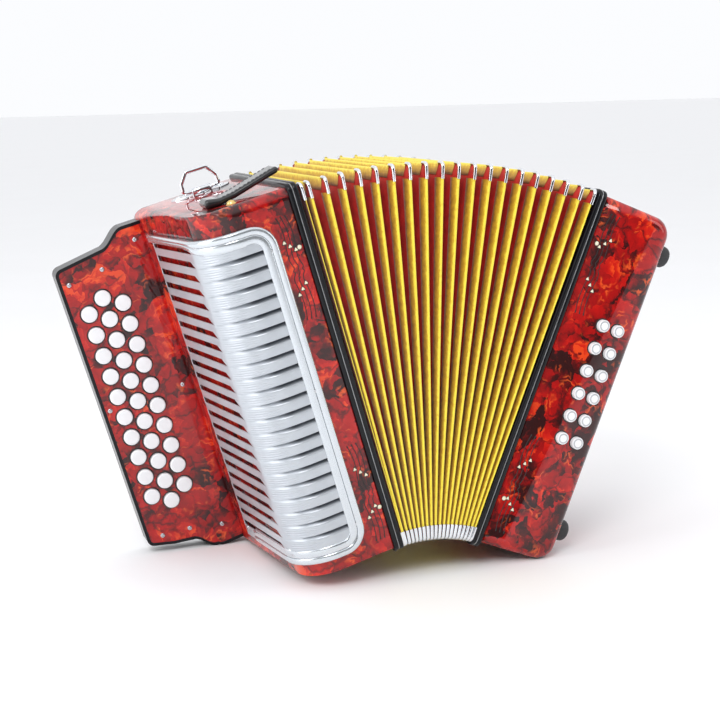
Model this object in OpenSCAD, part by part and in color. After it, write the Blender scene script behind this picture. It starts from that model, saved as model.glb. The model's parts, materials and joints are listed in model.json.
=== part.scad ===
// Three-row button accordion, standing open like a fan on its lower outer edges.
// Casing frames: u runs across the instrument, y from front to back, w up along the casing.
// The treble casing fills u < 0 of its own frame and the bass casing u > 0 of its own.

/* [Casings] */
// Height of the treble casing, along its bellows edge
treble_h = 323; // [318:1:328]
// Width of the treble casing along its back, from the bellows to the keyboard side
treble_w = 96; // [94:1:98]
// Radius of the treble casing's round front edge, beside the keyboard
nose_r = 33.5; // [28:0.5:36]
// Height of the bass casing
bass_h = 324; // [318:1:328]
// Width of the bass casing
bass_w = 75; // [72:1:80]
// Depth of both casings, front to back
case_d = 185; // [182:1:190]
// Wall thickness of both casings
wall = 4; // [3.5:0.5:5]
// Radius of the treble casing's upper corner, seen from the front
treble_r = 16.5; // [12:0.5:20]
// Corner radius of the bass casing, seen from the front
bass_r = 17; // [10:1:20]
// Radius of the upright front and back edges of the casings
edge_r = 10; // [6:1:12]

/* [Bellows] */
// Angle between the two casings
fan_angle = 37.9; // [34:0.1:42]
// Distance from the fan's centre to the casings' lower edges
fan_r = 126; // [120:1:132]
// Thickness of each bellows frame
frame_t = 9; // [8:0.5:10]
// How far the bellows frames stand out in front of and behind the casings
frame_out = 1.5; // [1:0.5:3]
// Depth of the folds
fold_depth = 24; // [20:1:28]

/* [Treble buttons] */
// Distance between buttons along a row
key_pitch = 19.92; // [19.8:0.02:20]
// Distance between rows
row_pitch = 15.87; // [15.6:0.01:16]
// Distance from the bellows edge to the middle row
mid_row_u = 147.8; // [146:0.1:149]
// Height of the highest button of the middle row
top_key_w = 259.7; // [258:0.1:261]
// Radius of a treble button
key_r = 7.1; // [6.8:0.1:7.3]

/* [Fingerboard] */
// Distance from the bellows edge to the fingerboard's outer side
board_w = 181; // [179:1:184]
// Depth at which the fingerboard's front face lies
board_y = 70; // [69:0.5:71]
// Thickness of the fingerboard's front plate
plate_t = 3; // [2.5:0.5:3]

/* [Grille] */
// Distance from the grille's outer face to the casing
grille_out = 4.5; // [3:0.5:5]
// Distance between the grille's slots
slot_pitch = 12.2; // [11.8:0.05:12.4]
// Number of slots
slots = 22; // [18:1:22]
// Distance from the bellows edge to the grille's border
grille_edge = 22; // [20:1:26]

/* [Bass buttons] */
// Distance between bass buttons along a row
bass_pitch = 21.06; // [20:0.02:22]
// Distances of the two rows from the bellows edge
bass_rows = [39.1, 54.8];
// Height of the highest pair
top_bass_w = 214.5; // [205:0.5:220]
// Radius of a bass button
bass_key_r = 5.4; // [5:0.1:5.8]

/* [Hidden] */
$fn = 64;
half_d = case_d / 2;
bass_low = -2;

// Plan of the treble casing: its flank runs inwards from the back edge to the round front edge
back_r = 6;
lid_r = 9;
crown_u = treble_r - treble_w - 2.5;
nose = [-47.5, nose_r - half_d];
back = [back_r - treble_w, half_d - back_r];
flank_turn = atan2(back[1] - nose[1], back[0] - nose[0]) + acos((nose_r - back_r) / norm(back - nose));
key_rows = [10, 11, 10];
bass_keys = 6;
key_count = key_rows[0] + key_rows[1] + key_rows[2];

// Outline of the fingerboard: heights of its outer corners and of its ends beside the casing;
// its inner side is cut to the casing's flank
board_top = 296;
board_low = 24;
shoulder_top = 315;
shoulder_low = 0;
board_r = 7;
board_in = 88;
rim = 3;
board_screws = [[-172, 280], [-140, 284], [-104, 300], [-174, 160], [-166, 31], [-140, 28],
                [-110, 20], [-104, 160]];

// Grille: heights of its ends, where its flank stops, slot sizes and screws
grille_ends = [13, 303];
grille_back = 40;
skin = 1.4;
first_slot = 36.5;
slot_h = 5.3;
louvre_h = 3;
screw_inset = 6.5;
edge_screws = [36, 158, 280];

// Key levers: a long axle inside the treble casing carries every L-shaped lever
axle_u = -80;
axle_y = 80.5;
axle_r = 1.5;
axle_play = 0.06;
axle_ends = [40, 283];
lever_t = 3;
lever_w = 3.2;
lever_y = 79;
arm_u = -72;
lever_shift = [5, 0, -3];
pallet_y = [-35, 0, 35];
pallet_size = [3.9, 26, 15.5];
hole_r = 5;
action_u = -56;
action_t = 4;
seat_gap = 0.1;

// Bass buttons push their pallets straight off the bass action board
bass_top_y = -half_d - 5;
bass_board_y = -73;

// Feet, hand strap and air button on the end of the bass casing
foot_r = 10;
foot_h = 14;
foot_y = 72;
foot_w = [28, 292];
hand_w = [40, 285];
hand_y = [-12, 43];
hand_rise = 30;
strap_t = 3.5;

// Wire strap loops on the top and the bottom of the treble casing
loop_u = -37;
loop_y = 48;
loop_half = 16.5;
loop_rise = 18;
wire_r = 1.8;
loop_lift = 3.6;
knuckle = 0.2;

// Bellows straps and the studs they snap on to
strap_y = [-66, -44];
stud = [-43, -74];

// Both casings rest on the floor: the treble side on its fingerboard's lower bulge,
// the bass side on its rounded lower corner. The lean that brings both to one height
// solves a sine + b cosine = c.
bulge_u = 113;
bulge_r = 8;
sit_a = -(bulge_u + (bass_w - bass_r) * cos(fan_angle)
          + (fan_r + bass_low + bass_r) * sin(fan_angle));
sit_b = fan_r + shoulder_low + bulge_r - (fan_r + bass_low + bass_r) * cos(fan_angle)
        + (bass_w - bass_r) * sin(fan_angle);
sit_c = bulge_r - bass_r;
treble_lean = atan2(sit_a, sit_b) + acos(sit_c / norm([sit_a, sit_b]));
bass_lean = fan_angle - treble_lean;
floor_drop = -bulge_u * sin(treble_lean)
             + (fan_r + shoulder_low + bulge_r) * cos(treble_lean) - bulge_r;
left_end = -(board_w - board_r) * cos(treble_lean)
           - (fan_r + board_top - board_r) * sin(treble_lean) - board_r;
right_end = (bass_w + foot_h) * cos(bass_lean) + (fan_r + foot_w[1] + foot_r / 2) * sin(bass_lean);
fan_centre = [-(left_end + right_end) / 2, (grille_out + 0.5) / 2, -floor_drop];

function two(n) = str(n < 10 ? "0" : "", n);

// ---- frames ----
module on_treble()
    translate(fan_centre) rotate([0, -treble_lean, 0]) translate([0, 0, fan_r]) children();

module on_bass()
    translate(fan_centre) rotate([0, bass_lean, 0]) translate([0, 0, fan_r]) children();

// Stands a drawing of (u, w) upright between two depths
module from_front(y0, y1)
    translate([0, y1, 0]) rotate([90, 0, 0]) linear_extrude(y1 - y0) children();

// Extrudes a drawing of (u, y) between two heights
module from_top(w0, w1)
    translate([0, 0, w0]) linear_extrude(w1 - w0) children();

// Extrudes a drawing of (y, w) between two distances u
module from_side(u0, u1)
    translate([u0, 0, 0]) rotate([90, 0, 90]) linear_extrude(u1 - u0) children();

// ---- shared shapes ----
// Rectangle whose four corners are round
module round_box(low, high, r) {
    size = high - low;
    translate(low + [r, 0]) square([size[0] - 2 * r, size[1]]);
    translate(low + [0, r]) square([size[0], size[1] - 2 * r]);
    for (x = [low[0] + r, high[0] - r], y = [low[1] + r, high[1] - r])
        translate([x, y]) circle(r);
}

// Box from a lowest to a highest corner
module block(low, high)
    translate(low) cube(high - low);

// Casing body on the side u > 0: round at its outer corners, edges and ends
module case_solid(width, w0, w1, half_depth, corner_r, upright_r, end_r)
    intersection() {
        from_front(-half_depth, half_depth)
            intersection() {
                round_box([-width, w0], [width, w1], corner_r);
                translate([0, w0]) square([width, w1 - w0]);
            }
        from_top(w0, w1)
            round_box([-width, -half_depth], [width, half_depth], upright_r);
        from_side(0, width)
            round_box([-half_depth, w0], [half_depth, w1], end_r);
    }

// Hollow casing on the side u > 0, open towards the bellows
module case_shell(width, w0, w1, corner_r)
    difference() {
        case_solid(width, w0, w1, half_d, corner_r, edge_r, edge_r - 2);
        translate([-1, 0, 0])
            case_solid(width - wall + 1, w0 + wall, w1 - wall, half_d - wall,
                       corner_r - wall, edge_r - wall, edge_r - 2 - wall);
    }

// Plan (u, y) of the treble casing, drawn in by an inset
module treble_plan(inset)
    hull() {
        translate(nose) circle(nose_r - inset, $fn = 120);
        translate(back) circle(back_r - inset);
        translate([-back_r, inset - half_d]) square([back_r, case_d - 2 * inset]);
    }

// Treble casing body: sharp lower edges, round upper corner and upper edges
module treble_solid(inset)
    intersection() {
        from_top(inset, treble_h - inset) treble_plan(inset);
        from_front(-half_d, half_d) hull() {
            translate([crown_u, treble_h - treble_r]) circle(treble_r - inset, $fn = 120);
            translate([-2 * treble_w, 0]) square([treble_w, 1]);
            translate([-lid_r, 0]) square([lid_r, treble_h - inset]);
        }
        from_side(-treble_w, 0) hull() {
            for (side = [-1, 1])
                translate([side * (half_d - lid_r), treble_h - lid_r]) circle(lid_r - inset);
            translate([inset - half_d, 0]) square([case_d - 2 * inset, 1]);
        }
    }

// Domed screw head with its face towards +z
module screw_head(r, h)
    rotate_extrude($fn = 24) intersection() {
        translate([0, h - r * 1.6]) circle(r * 1.6);
        square([r, h]);
    }

// ---- fingerboard outline ----
// Smooth step between two points of an outline
function s_curve(p, q, steps = 24) = [for (k = [0:steps])
    [p[0] + (q[0] - p[0]) * k / steps, p[1] + (q[1] - p[1]) * (1 - cos(180 * k / steps)) / 2]];

// Arc about a centre between two angles
function arc(c, r, a0, a1, steps = 12) = [for (k = [0:steps])
    c + r * [cos(a0 + (a1 - a0) * k / steps), sin(a0 + (a1 - a0) * k / steps)]];

// Outline of the fingerboard, drawn in by an inset
function board_outline(inset) =
    let (left = -board_w + inset, r = max(board_r - inset, 1))
    concat([[-board_in, shoulder_top - inset]],
           s_curve([-112, shoulder_top - inset], [-136, board_top + 5 - inset]),
           arc([left + r, board_top - r - inset], r, 96, 180),
           arc([left + r, board_low + r + inset], r, 180, 256),
           [[-158, board_low - 5 + inset]],
           s_curve([-140, board_low - 8 + inset], [-120, shoulder_low + 2.2 + inset]),
           arc([-bulge_u, shoulder_low + bulge_r + inset], bulge_r, 225, 275),
           [[-board_in, shoulder_low + 1 + inset]]);

// ---- treble side ----
function key_row(k) = k < key_rows[0] ? 0 : (k < key_rows[0] + key_rows[1] ? 1 : 2);
function key_place(k) = k - (key_row(k) > 0 ? key_rows[0] : 0) - (key_row(k) > 1 ? key_rows[1] : 0);
function key_u(k) = -mid_row_u + (key_row(k) - 1) * row_pitch;
function key_w(k) = top_key_w - (key_place(k) + (key_row(k) == 1 ? 0 : 0.5)) * key_pitch;

module treble_casing() color("firebrick") on_treble() {
    difference() {
        treble_solid(0);
        treble_solid(wall);
        // mouth towards the bellows
        block([-back_r, -half_d + wall, wall], [1, half_d - wall, treble_h - wall]);
        // slot that the levers pass through
        block([-treble_w - 1, lever_y - 3, 45], [-treble_w + wall + 2, lever_y + 8, 276]);
        // sound window behind the grille
        block([-60, -half_d - 1, 30], [-36, -half_d + 2 * wall, 290]);
    }
    // board that the pallets close, with a tone hole for each key
    difference() {
        block([action_u, -half_d + wall + 1, wall], [action_u + action_t, half_d - wall, treble_h - wall]);
        for (k = [0:key_count - 1])
            translate([action_u - 1, pallet_y[key_row(k)], key_w(k)])
                rotate([0, 90, 0]) cylinder(r = hole_r, h = action_t + 2);
    }
    // posts that hold the key axle's ends
    for (span = [[axle_ends[0] - 6, axle_ends[0]], [axle_ends[1], axle_ends[1] + 6]])
        block([axle_u - 5, axle_y - 5, span[0]], [axle_u + 5, half_d - wall, span[1]]);
}

module treble_reed_blocks() color("burlywood") on_treble()
    for (row = [0:2]) {
        low = [action_u + action_t, pallet_y[row] - 9, 34];
        difference() {
            block(low, [-24, low[1] + 18, 286]);
            for (k = [0:11], side = [-1, 1])
                translate([low[0] + 4, pallet_y[row] + side * 9 - 6, 40 + 20.4 * k])
                    cube([20, 12, 14]);
        }
        for (side = [0, 1])
            translate([low[0], low[1] - 1.2 + side * 19.2, 38]) difference() {
                cube([28, 1.2, 244]);
                for (k = [0:11]) translate([8, -1, 6 + 20.4 * k]) cube([14, 4, 6]);
            }
    }

// Plan of the grille at a distance from the casing, ending short of its edges by an inset
module grille_plan(out, inset)
    intersection() {
        treble_plan(-out);
        translate([-2 * treble_w, -case_d])
            square([2 * treble_w - grille_edge - inset, case_d + grille_back - inset]);
    }

// Pressed-metal cover over the front and the keyboard side
module treble_grille() color("silver") on_treble()
    difference() {
        from_top(grille_ends[0], grille_ends[1]) grille_plan(grille_out, 0);
        from_top(grille_ends[0] + skin, grille_ends[1] - skin) grille_plan(grille_out - skin, skin);
        from_top(0, treble_h) treble_plan(0);
        for (k = [0:slots - 1]) {
            w = first_slot + slot_pitch * k;
            block([-1.2 * treble_w, nose[1] - 4, w], [-treble_w + 18, grille_back - 6, w + slot_h]);
            block([nose[0] - 14, -half_d - grille_out - 1, w],
                  [-grille_edge - 2 * screw_inset, -half_d + 3, w + louvre_h]);
        }
    }

module fingerboard_frame() color([0.05, 0.05, 0.06]) on_treble()
    difference() {
        from_front(board_y, half_d) polygon(board_outline(0));
        from_front(board_y - 1, board_y + plate_t) polygon(board_outline(rim));
        from_front(board_y, half_d - wall) polygon(board_outline(2 * rim));
        block([-treble_w - 1 - 2 * rim, board_y + plate_t, 30], [-board_in, half_d - wall, 290]);
        from_top(-case_d, 2 * case_d) treble_plan(0);
    }

module fingerboard_plate() color("firebrick") on_treble()
    difference() {
        from_front(board_y, board_y + plate_t) polygon(board_outline(rim));
        for (k = [0:key_count - 1])
            translate([key_u(k), board_y - 1, key_w(k)])
                rotate([-90, 0, 0]) cylinder(r = key_r + 0.8, h = plate_t + 2);
        from_top(-case_d, 2 * case_d) treble_plan(0);
    }

// Button, stem, L-shaped lever and pallet, turning on the key axle
module treble_key(k) color("white") on_treble() {
    row = key_row(k);
    u = key_u(k);
    w = key_w(k);
    lever = w + lever_shift[row];
    translate([u, board_y - 3.2, w]) rotate([-90, 0, 0]) {
        rotate_extrude() intersection() {
            translate([0, 18]) circle(18, $fn = 128);
            union() {
                translate([0, 1.2]) square([key_r, 6.6]);
                square([key_r - 1.2, 2]);
                translate([key_r - 1.2, 1.2]) circle(1.2);
            }
        }
        cylinder(r = 2.4, h = lever_y + lever_t - board_y + 3.2);
    }
    difference() {
        union() {
            block([u - 3, lever_y, lever - lever_w / 2],
                  [arm_u + lever_t, lever_y + lever_t, lever + lever_w / 2]);
            translate([axle_u, axle_y, lever - 2.1]) cylinder(r = 3.6, h = 4.2);
        }
        translate([axle_u, axle_y, lever - 5]) cylinder(r = axle_r + axle_play, h = 10);
    }
    block([u - 2.4, lever_y, min(w, lever) - 1.6], [u + 2.4, lever_y + lever_t, max(w, lever) + 1.6]);
    block([arm_u, pallet_y[row] - 3, lever - lever_w / 2],
          [arm_u + lever_t, lever_y + 1, lever + lever_w / 2]);
    block([arm_u + 1, pallet_y[row] - 3, lever - lever_w / 2],
          [action_u - seat_gap - 3, pallet_y[row] + 3, lever + lever_w / 2]);
    translate([action_u - seat_gap - pallet_size[0], pallet_y[row] - pallet_size[1] / 2,
               w - pallet_size[2] / 2]) cube(pallet_size);
}

// Base plate of a strap loop: two lobes and a tunnel that holds the loop's bar
module loop_plate(face)
    translate([loop_u, loop_y, 0]) {
        difference() {
            union() {
                from_top(face, face + 1.2) {
                    translate([0, 8]) square([49, 13], center = true);
                    for (side = [-1, 1]) translate([side * 14, 0]) circle(5);
                    for (side = [-1, 1]) translate([side * 24, 7]) circle(4.2);
                    square([17, 10], center = true);
                }
                translate([-9, 0, face + loop_lift]) rotate([0, 90, 0]) cylinder(r = 3.4, h = 18);
                block([-8.5, -2.6, face], [8.5, 2.6, face + loop_lift]);
            }
            translate([-loop_half, 0, face + loop_lift]) rotate([0, 90, 0])
                cylinder(r = wire_r + axle_play, h = 2 * loop_half);
            for (side = [-1, 1]) translate([side * 15.2, 0, face - 1]) cylinder(r = 3, h = 5);
        }
        for (side = [-1, 1]) translate([side * 20, 9, face + 1]) screw_head(3, 1.6);
    }

// Wire loop in the (u, w) drawing, its bar on the origin
module loop_wire() {
    path = [[-loop_half, 0], [-loop_half, 9], [-8, loop_rise], [8, loop_rise], [loop_half, 9],
            [loop_half, 0]];
    for (k = [0:5]) {
        p = path[k];
        q = path[(k + 1) % 6];
        translate([p[0], 0, p[1]]) {
            sphere(r = wire_r + knuckle);
            rotate([0, atan2(q[0] - p[0], q[1] - p[1]), 0])
                cylinder(r = wire_r, h = norm(q - p));
        }
    }
}

module strap_loop_upper() color("silver") on_treble()
    translate([loop_u, loop_y, treble_h + loop_lift]) loop_wire();

// The lower loop lies folded back along the casing's underside
module strap_loop_lower() color("silver") on_treble()
    translate([loop_u, loop_y, -loop_lift]) rotate([-90, 0, 0]) loop_wire();

module treble_fittings() color("gainsboro") on_treble() {
    loop_plate(treble_h);
    mirror([0, 0, 1]) loop_plate(0);
    translate([axle_u, axle_y, axle_ends[0]])
        cylinder(r = axle_r, h = axle_ends[1] - axle_ends[0]);
    // screws of the grille's border, of its flank's rear end and of its round edge
    for (w = edge_screws)
        translate([-grille_edge - screw_inset, -half_d - grille_out, w]) rotate([90, 0, 0])
            screw_head(2.6, 0.5);
    for (w = [grille_ends[0] + 9, grille_ends[1] - 4.5]) {
        on_nose(flank_turn, grille_back - 11 - nose[1], w) screw_head(2.6, 1);
        on_nose(flank_turn + 20, 0, w) screw_head(2.6, 1);
    }
    for (spot = board_screws)
        translate([spot[0], board_y, spot[1]]) rotate([90, 0, 0]) screw_head(2.2, 1);
    // studs that the bellows straps snap on to
    translate([stud[0], stud[1], treble_h]) screw_head(4, 3);
    translate([stud[0], stud[1], 0]) mirror([0, 0, 1]) screw_head(4, 3);
}

// Faces outwards from the round edge in a direction, or a distance back along the flank
module on_nose(turn, back_by, w)
    translate([nose[0], nose[1], w]) rotate([0, 0, turn])
        translate([nose_r + grille_out, -back_by, 0]) rotate([0, 90, 0]) children();

// Leather straps, unbuckled from the bass side
module bellows_straps() color([0.12, 0.12, 0.13]) on_treble() {
    from_front(strap_y[0], strap_y[1]) translate([0, treble_h])
        polygon([[-60, 0], [-42, 0], [-30, 2.5], [-8, 7.5], [5, 12], [6.5, 14.5], [3, 16],
                 [-8, 12], [-30, 6.5], [-42, 4], [-60, 4]]);
    from_front(strap_y[0], strap_y[1])
        polygon([[-60, 0], [-8, 0], [-1, -5.5], [5, -7.5], [4, -10.5], [-2, -9], [-8, -4], [-60, -4]]);
}

// ---- bellows ----
// Rectangular bellows frame of a given height range, between u0 and u1
module bellows_frame(u0, u1, w0, w1)
    from_side(u0, u1) difference() {
        round_box([-half_d - frame_out, w0], [half_d + frame_out, w1], 6);
        round_box([-half_d + 14, 14], [half_d - 14, treble_h - 14], 4);
    }

module treble_bellows_frame() color([0.08, 0.08, 0.09]) on_treble()
    bellows_frame(0, frame_t, -5, treble_h + 3);

module bass_bellows_frame() color([0.08, 0.08, 0.09]) on_bass()
    bellows_frame(-frame_t, 0, -6, bass_h + bass_low + 3);

module bellows_folds() color("gold") {
    difference() {
        translate(fan_centre) rotate([90, 0, 0]) rotate([0, 0, 90 - bass_lean])
            rotate_extrude(angle = fan_angle, $fn = 180) difference() {
                translate([fan_r - 1, -half_d]) square([treble_h + 3, case_d]);
                translate([fan_r + fold_depth, -half_d + fold_depth])
                    square([treble_h - 2 * fold_depth, case_d - 2 * fold_depth]);
            }
        on_treble() block([-50, -half_d - 5, -20], [frame_t, half_d + 5, treble_h + 20]);
        on_bass() block([-frame_t, -half_d - 5, -20], [50, half_d + 5, treble_h + 20]);
    }
}

// ---- bass side ----
module bass_casing() color("firebrick") on_bass() {
    difference() {
        case_shell(bass_w, bass_low, bass_low + bass_h, bass_r);
        for (row = bass_rows, k = [0:bass_keys - 1])
            translate([row, -half_d - 1, top_bass_w - bass_pitch * k])
                rotate([-90, 0, 0]) cylinder(r = bass_key_r + 0.6, h = wall + 2);
        // sound slots in the back
        for (k = [0:4])
            block([22, half_d - wall - 1, 80 + 38 * k], [56, half_d + 1, 86 + 38 * k]);
        translate([bass_w - wall - 1, 64, 236]) rotate([0, 90, 0]) cylinder(r = 4.4, h = wall + 2);
    }
    // board that the bass pallets close
    difference() {
        block([0, bass_board_y, 80], [bass_w - wall, bass_board_y + 3, 246]);
        for (row = bass_rows, k = [0:bass_keys - 1])
            translate([row, bass_board_y - 1, top_bass_w - bass_pitch * k])
                rotate([-90, 0, 0]) cylinder(r = 4.6, h = 5);
    }
    for (w = [[76, 80], [246, 250]])
        block([0, -half_d + wall, w[0]], [bass_w - wall, bass_board_y + 3, w[1]]);
}

module bass_reed_blocks() color("burlywood") on_bass()
    for (y = [-30, 20]) {
        difference() {
            block([bass_w - wall - 46, y, 60], [bass_w - wall, y + 20, 270]);
            for (k = [0:7], side = [-1, 1])
                translate([bass_w - wall - 40, y + 10 + side * 10 - 6, 68 + 25 * k]) cube([30, 12, 16]);
        }
        for (side = [-1.2, 20])
            translate([bass_w - wall - 44, y + side, 64]) cube([40, 1.2, 202]);
    }

// Button, stem and pallet in one line, pressed straight in
module bass_button(k) color("white") on_bass() {
    u = bass_rows[k % 2];
    w = top_bass_w - bass_pitch * floor(k / 2);
    translate([u, bass_top_y, w]) rotate([-90, 0, 0]) {
        rotate_extrude() union() {
            translate([0, 1.2]) square([bass_key_r, 7.2]);
            square([bass_key_r - 1.2, 2]);
            translate([bass_key_r - 1.2, 1.2]) circle(1.2);
        }
        cylinder(r = 2, h = bass_board_y - bass_top_y + 6);
    }
    translate([u, bass_board_y + 3 + seat_gap, w]) rotate([-90, 0, 0]) cylinder(r = 7, h = 3);
}

module bass_feet() color([0.09, 0.09, 0.1]) on_bass()
    for (y = [-foot_y, foot_y], w = foot_w)
        translate([bass_w, y, w]) rotate([0, 90, 0]) rotate_extrude() union() {
            square([foot_r, foot_h - 5]);
            square([foot_r - 5, foot_h]);
            translate([foot_r - 5, foot_h - 5]) circle(5);
        }

// Leather strap that arches over the back of the left hand
module hand_strap() color([0.12, 0.12, 0.13]) on_bass() {
    half_span = (hand_w[1] - hand_w[0]) / 2;
    arch_r = (pow(half_span, 2) + pow(hand_rise, 2)) / (2 * hand_rise);
    centre = [bass_w + hand_rise - arch_r, hand_w[0] + half_span];
    from_front(hand_y[0], hand_y[1]) {
        intersection() {
            difference() {
                translate(centre) circle(arch_r, $fn = 360);
                translate(centre) circle(arch_r - strap_t, $fn = 360);
            }
            translate([bass_w, hand_w[0] - 10]) square([60, 2 * half_span + 20]);
        }
        for (w = [hand_w[0] - 14, hand_w[1] - 16])
            translate([bass_w, w]) square([strap_t + 1, 30]);
    }
}

module air_button() color("silver") on_bass()
    translate([bass_w + 5, 64, 236]) rotate([0, -90, 0]) {
        cylinder(r = 8, h = 2);
        cylinder(r = 4, h = 9 + wall);
        translate([0, 0, 5 + wall + 1]) cylinder(r = 9, h = 3);
    }

treble_casing();
treble_reed_blocks();
treble_grille();
fingerboard_frame();
fingerboard_plate();
treble_fittings();
strap_loop_upper();
strap_loop_lower();
bellows_straps();
treble_bellows_frame();
bellows_folds();
bass_bellows_frame();
bass_casing();
bass_reed_blocks();
bass_feet();
hand_strap();
air_button();
for (k = [0:key_count - 1])
    treble_key(k);
for (k = [0:2 * bass_keys - 1])
    bass_button(k);
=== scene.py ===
import json
import math

import bmesh
import bpy
import numpy as np
from mathutils import Matrix, Vector

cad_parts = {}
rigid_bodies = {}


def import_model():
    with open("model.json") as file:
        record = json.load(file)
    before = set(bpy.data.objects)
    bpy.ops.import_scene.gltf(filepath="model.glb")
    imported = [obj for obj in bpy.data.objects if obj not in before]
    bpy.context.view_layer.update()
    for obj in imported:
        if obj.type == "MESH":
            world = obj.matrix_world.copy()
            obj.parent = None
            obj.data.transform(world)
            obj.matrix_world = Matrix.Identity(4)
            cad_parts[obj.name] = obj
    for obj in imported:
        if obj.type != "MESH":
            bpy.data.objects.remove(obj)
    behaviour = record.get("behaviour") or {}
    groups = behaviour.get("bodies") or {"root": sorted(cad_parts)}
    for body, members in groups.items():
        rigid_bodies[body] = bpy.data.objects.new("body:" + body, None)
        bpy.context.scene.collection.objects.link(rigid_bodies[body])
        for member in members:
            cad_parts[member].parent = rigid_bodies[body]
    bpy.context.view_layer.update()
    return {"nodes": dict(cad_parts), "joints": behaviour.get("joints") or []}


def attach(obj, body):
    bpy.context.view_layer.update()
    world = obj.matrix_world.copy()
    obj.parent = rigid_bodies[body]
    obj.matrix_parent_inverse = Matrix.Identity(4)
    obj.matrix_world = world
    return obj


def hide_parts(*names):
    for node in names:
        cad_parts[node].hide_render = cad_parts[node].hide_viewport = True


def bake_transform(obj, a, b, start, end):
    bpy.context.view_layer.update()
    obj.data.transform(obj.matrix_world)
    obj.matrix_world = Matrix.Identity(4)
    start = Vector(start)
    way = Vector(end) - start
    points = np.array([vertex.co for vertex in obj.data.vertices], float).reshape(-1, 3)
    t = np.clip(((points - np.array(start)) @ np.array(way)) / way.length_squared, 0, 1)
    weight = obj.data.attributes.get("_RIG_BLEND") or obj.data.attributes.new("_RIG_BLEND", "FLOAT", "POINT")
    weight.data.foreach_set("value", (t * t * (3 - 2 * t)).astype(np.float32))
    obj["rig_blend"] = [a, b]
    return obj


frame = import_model()
MM = 0.001
TAU = 2 * math.pi


# ---- the two casings' own frames, in millimetres ----
def node_points(name):
    return np.array([v.co for v in frame["nodes"][name].data.vertices], float)


def joint(name):
    return next(j for j in frame["joints"] if j["name"] == name)


class Side:
    """Frame of one casing: u across, y from front to back, w up along the casing."""

    def __init__(self, across, edge_node, edge_pick, casing, low):
        self.u = np.array(across, float) / np.linalg.norm(across)
        self.y = np.array((0.0, 1.0, 0.0))
        self.w = np.cross(self.u, self.y)
        edge = edge_pick(node_points(edge_node) @ self.u)
        body = node_points(casing)
        depth = (body[:, 1].min() + body[:, 1].max()) / 2
        base = (body @ self.w).min() - low * MM
        self.origin = self.u * edge + self.y * depth + self.w * base
        self.half_d = (body[:, 1].max() - body[:, 1].min()) / 2 / MM
        self.height = ((body @ self.w).max() - (body @ self.w).min()) / MM + low
        self.width = np.abs((body @ self.u - edge)).max() / MM

    def world(self, p):
        p = np.asarray(p, float)
        return self.origin + MM * (p[..., :1] * self.u + p[..., 1:2] * self.y + p[..., 2:] * self.w)

    def local(self, p):
        d = (np.asarray(p, float) - self.origin) / MM
        return np.stack([d @ self.u, d @ self.y, d @ self.w], -1)

    def node_box(self, name):
        p = self.local(node_points(name))
        return p.min(0), p.max(0)


treble = Side(joint("strap_loop_upper_swing")["axis"], "treble_bellows_frame", np.min,
              "treble_casing", 0.0)
bass = Side(-np.array(joint("air_button_press")["axis"]), "bass_bellows_frame", np.max,
            "bass_casing", -2.0)


# ---- materials ----
class Shader:
    """A principled material built up from procedural nodes."""

    def __init__(self, name, **values):
        self.material = bpy.data.materials.new(name)
        self.material.use_nodes = True
        self.tree = self.material.node_tree
        self.bsdf = self.tree.nodes["Principled BSDF"]
        for key, value in values.items():
            self.bsdf.inputs[key.replace("_", " ")].default_value = value
        self.coords = self.tree.nodes.new("ShaderNodeTexCoord")

    def node(self, kind, inputs=(), **settings):
        n = self.tree.nodes.new("ShaderNode" + kind)
        for key, value in settings.items():
            setattr(n, key, value)
        for key, value in dict(inputs).items():
            if isinstance(value, bpy.types.NodeSocket):
                self.tree.links.new(value, n.inputs[key])
            else:
                n.inputs[key].default_value = value
        return n

    def link(self, socket, key):
        self.tree.links.new(socket, self.bsdf.inputs[key])

    def place(self, scale=1.0, source="Object"):
        """Object coordinates, in units of scale millimetres."""
        k = 1 / (scale * MM) if source == "Object" else 1 / scale
        return self.node("Mapping", {"Vector": self.coords.outputs[source], "Scale": (k, k, k)}).outputs[0]

    def noise(self, vector, detail, rough, distortion=0.0):
        return self.node("TexNoise", {"Vector": vector, "Scale": 1.0, "Detail": detail,
                                      "Roughness": rough, "Distortion": distortion})

    def ramp(self, factor, stops):
        n = self.node("ValToRGB", {"Fac": factor})
        while len(n.color_ramp.elements) < len(stops):
            n.color_ramp.elements.new(0.5)
        for e, (at, colour) in zip(n.color_ramp.elements, stops):
            e.position = at
            e.color = (*colour, 1.0)
        return n.outputs[0]

    def math(self, operation, a, b=0.0):
        return self.node("Math", {0: a, 1: b}, operation=operation).outputs[0]

    def vector(self, operation, a, b):
        return self.node("VectorMath", {0: a, 1: b}, operation=operation).outputs[0]

    def shrink(self, vector, scale):
        """A vector in units of scale."""
        return self.node("VectorMath", {0: vector, "Scale": 1 / scale}, operation="SCALE").outputs[0]

    def mix(self, share, first, second):
        """A colour that goes from the first to the fixed second one as share goes from 0 to 1."""
        return self.node("Mix", {0: share, 6: first, 7: (*second, 1.0)}, data_type="RGBA").outputs[2]

    def attribute(self, name):
        return self.node("Attribute", attribute_name=name).outputs["Fac"]

    def remap(self, value, low, high, to_low=0.0, to_high=1.0):
        return self.node("MapRange", {"Value": value, "From Min": low, "From Max": high,
                                      "To Min": to_low, "To Max": to_high}).outputs[0]

    def bump(self, height, strength, distance):
        n = self.node("Bump", {"Height": height, "Strength": strength, "Distance": distance * MM})
        self.link(n.outputs[0], "Normal")


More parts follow.
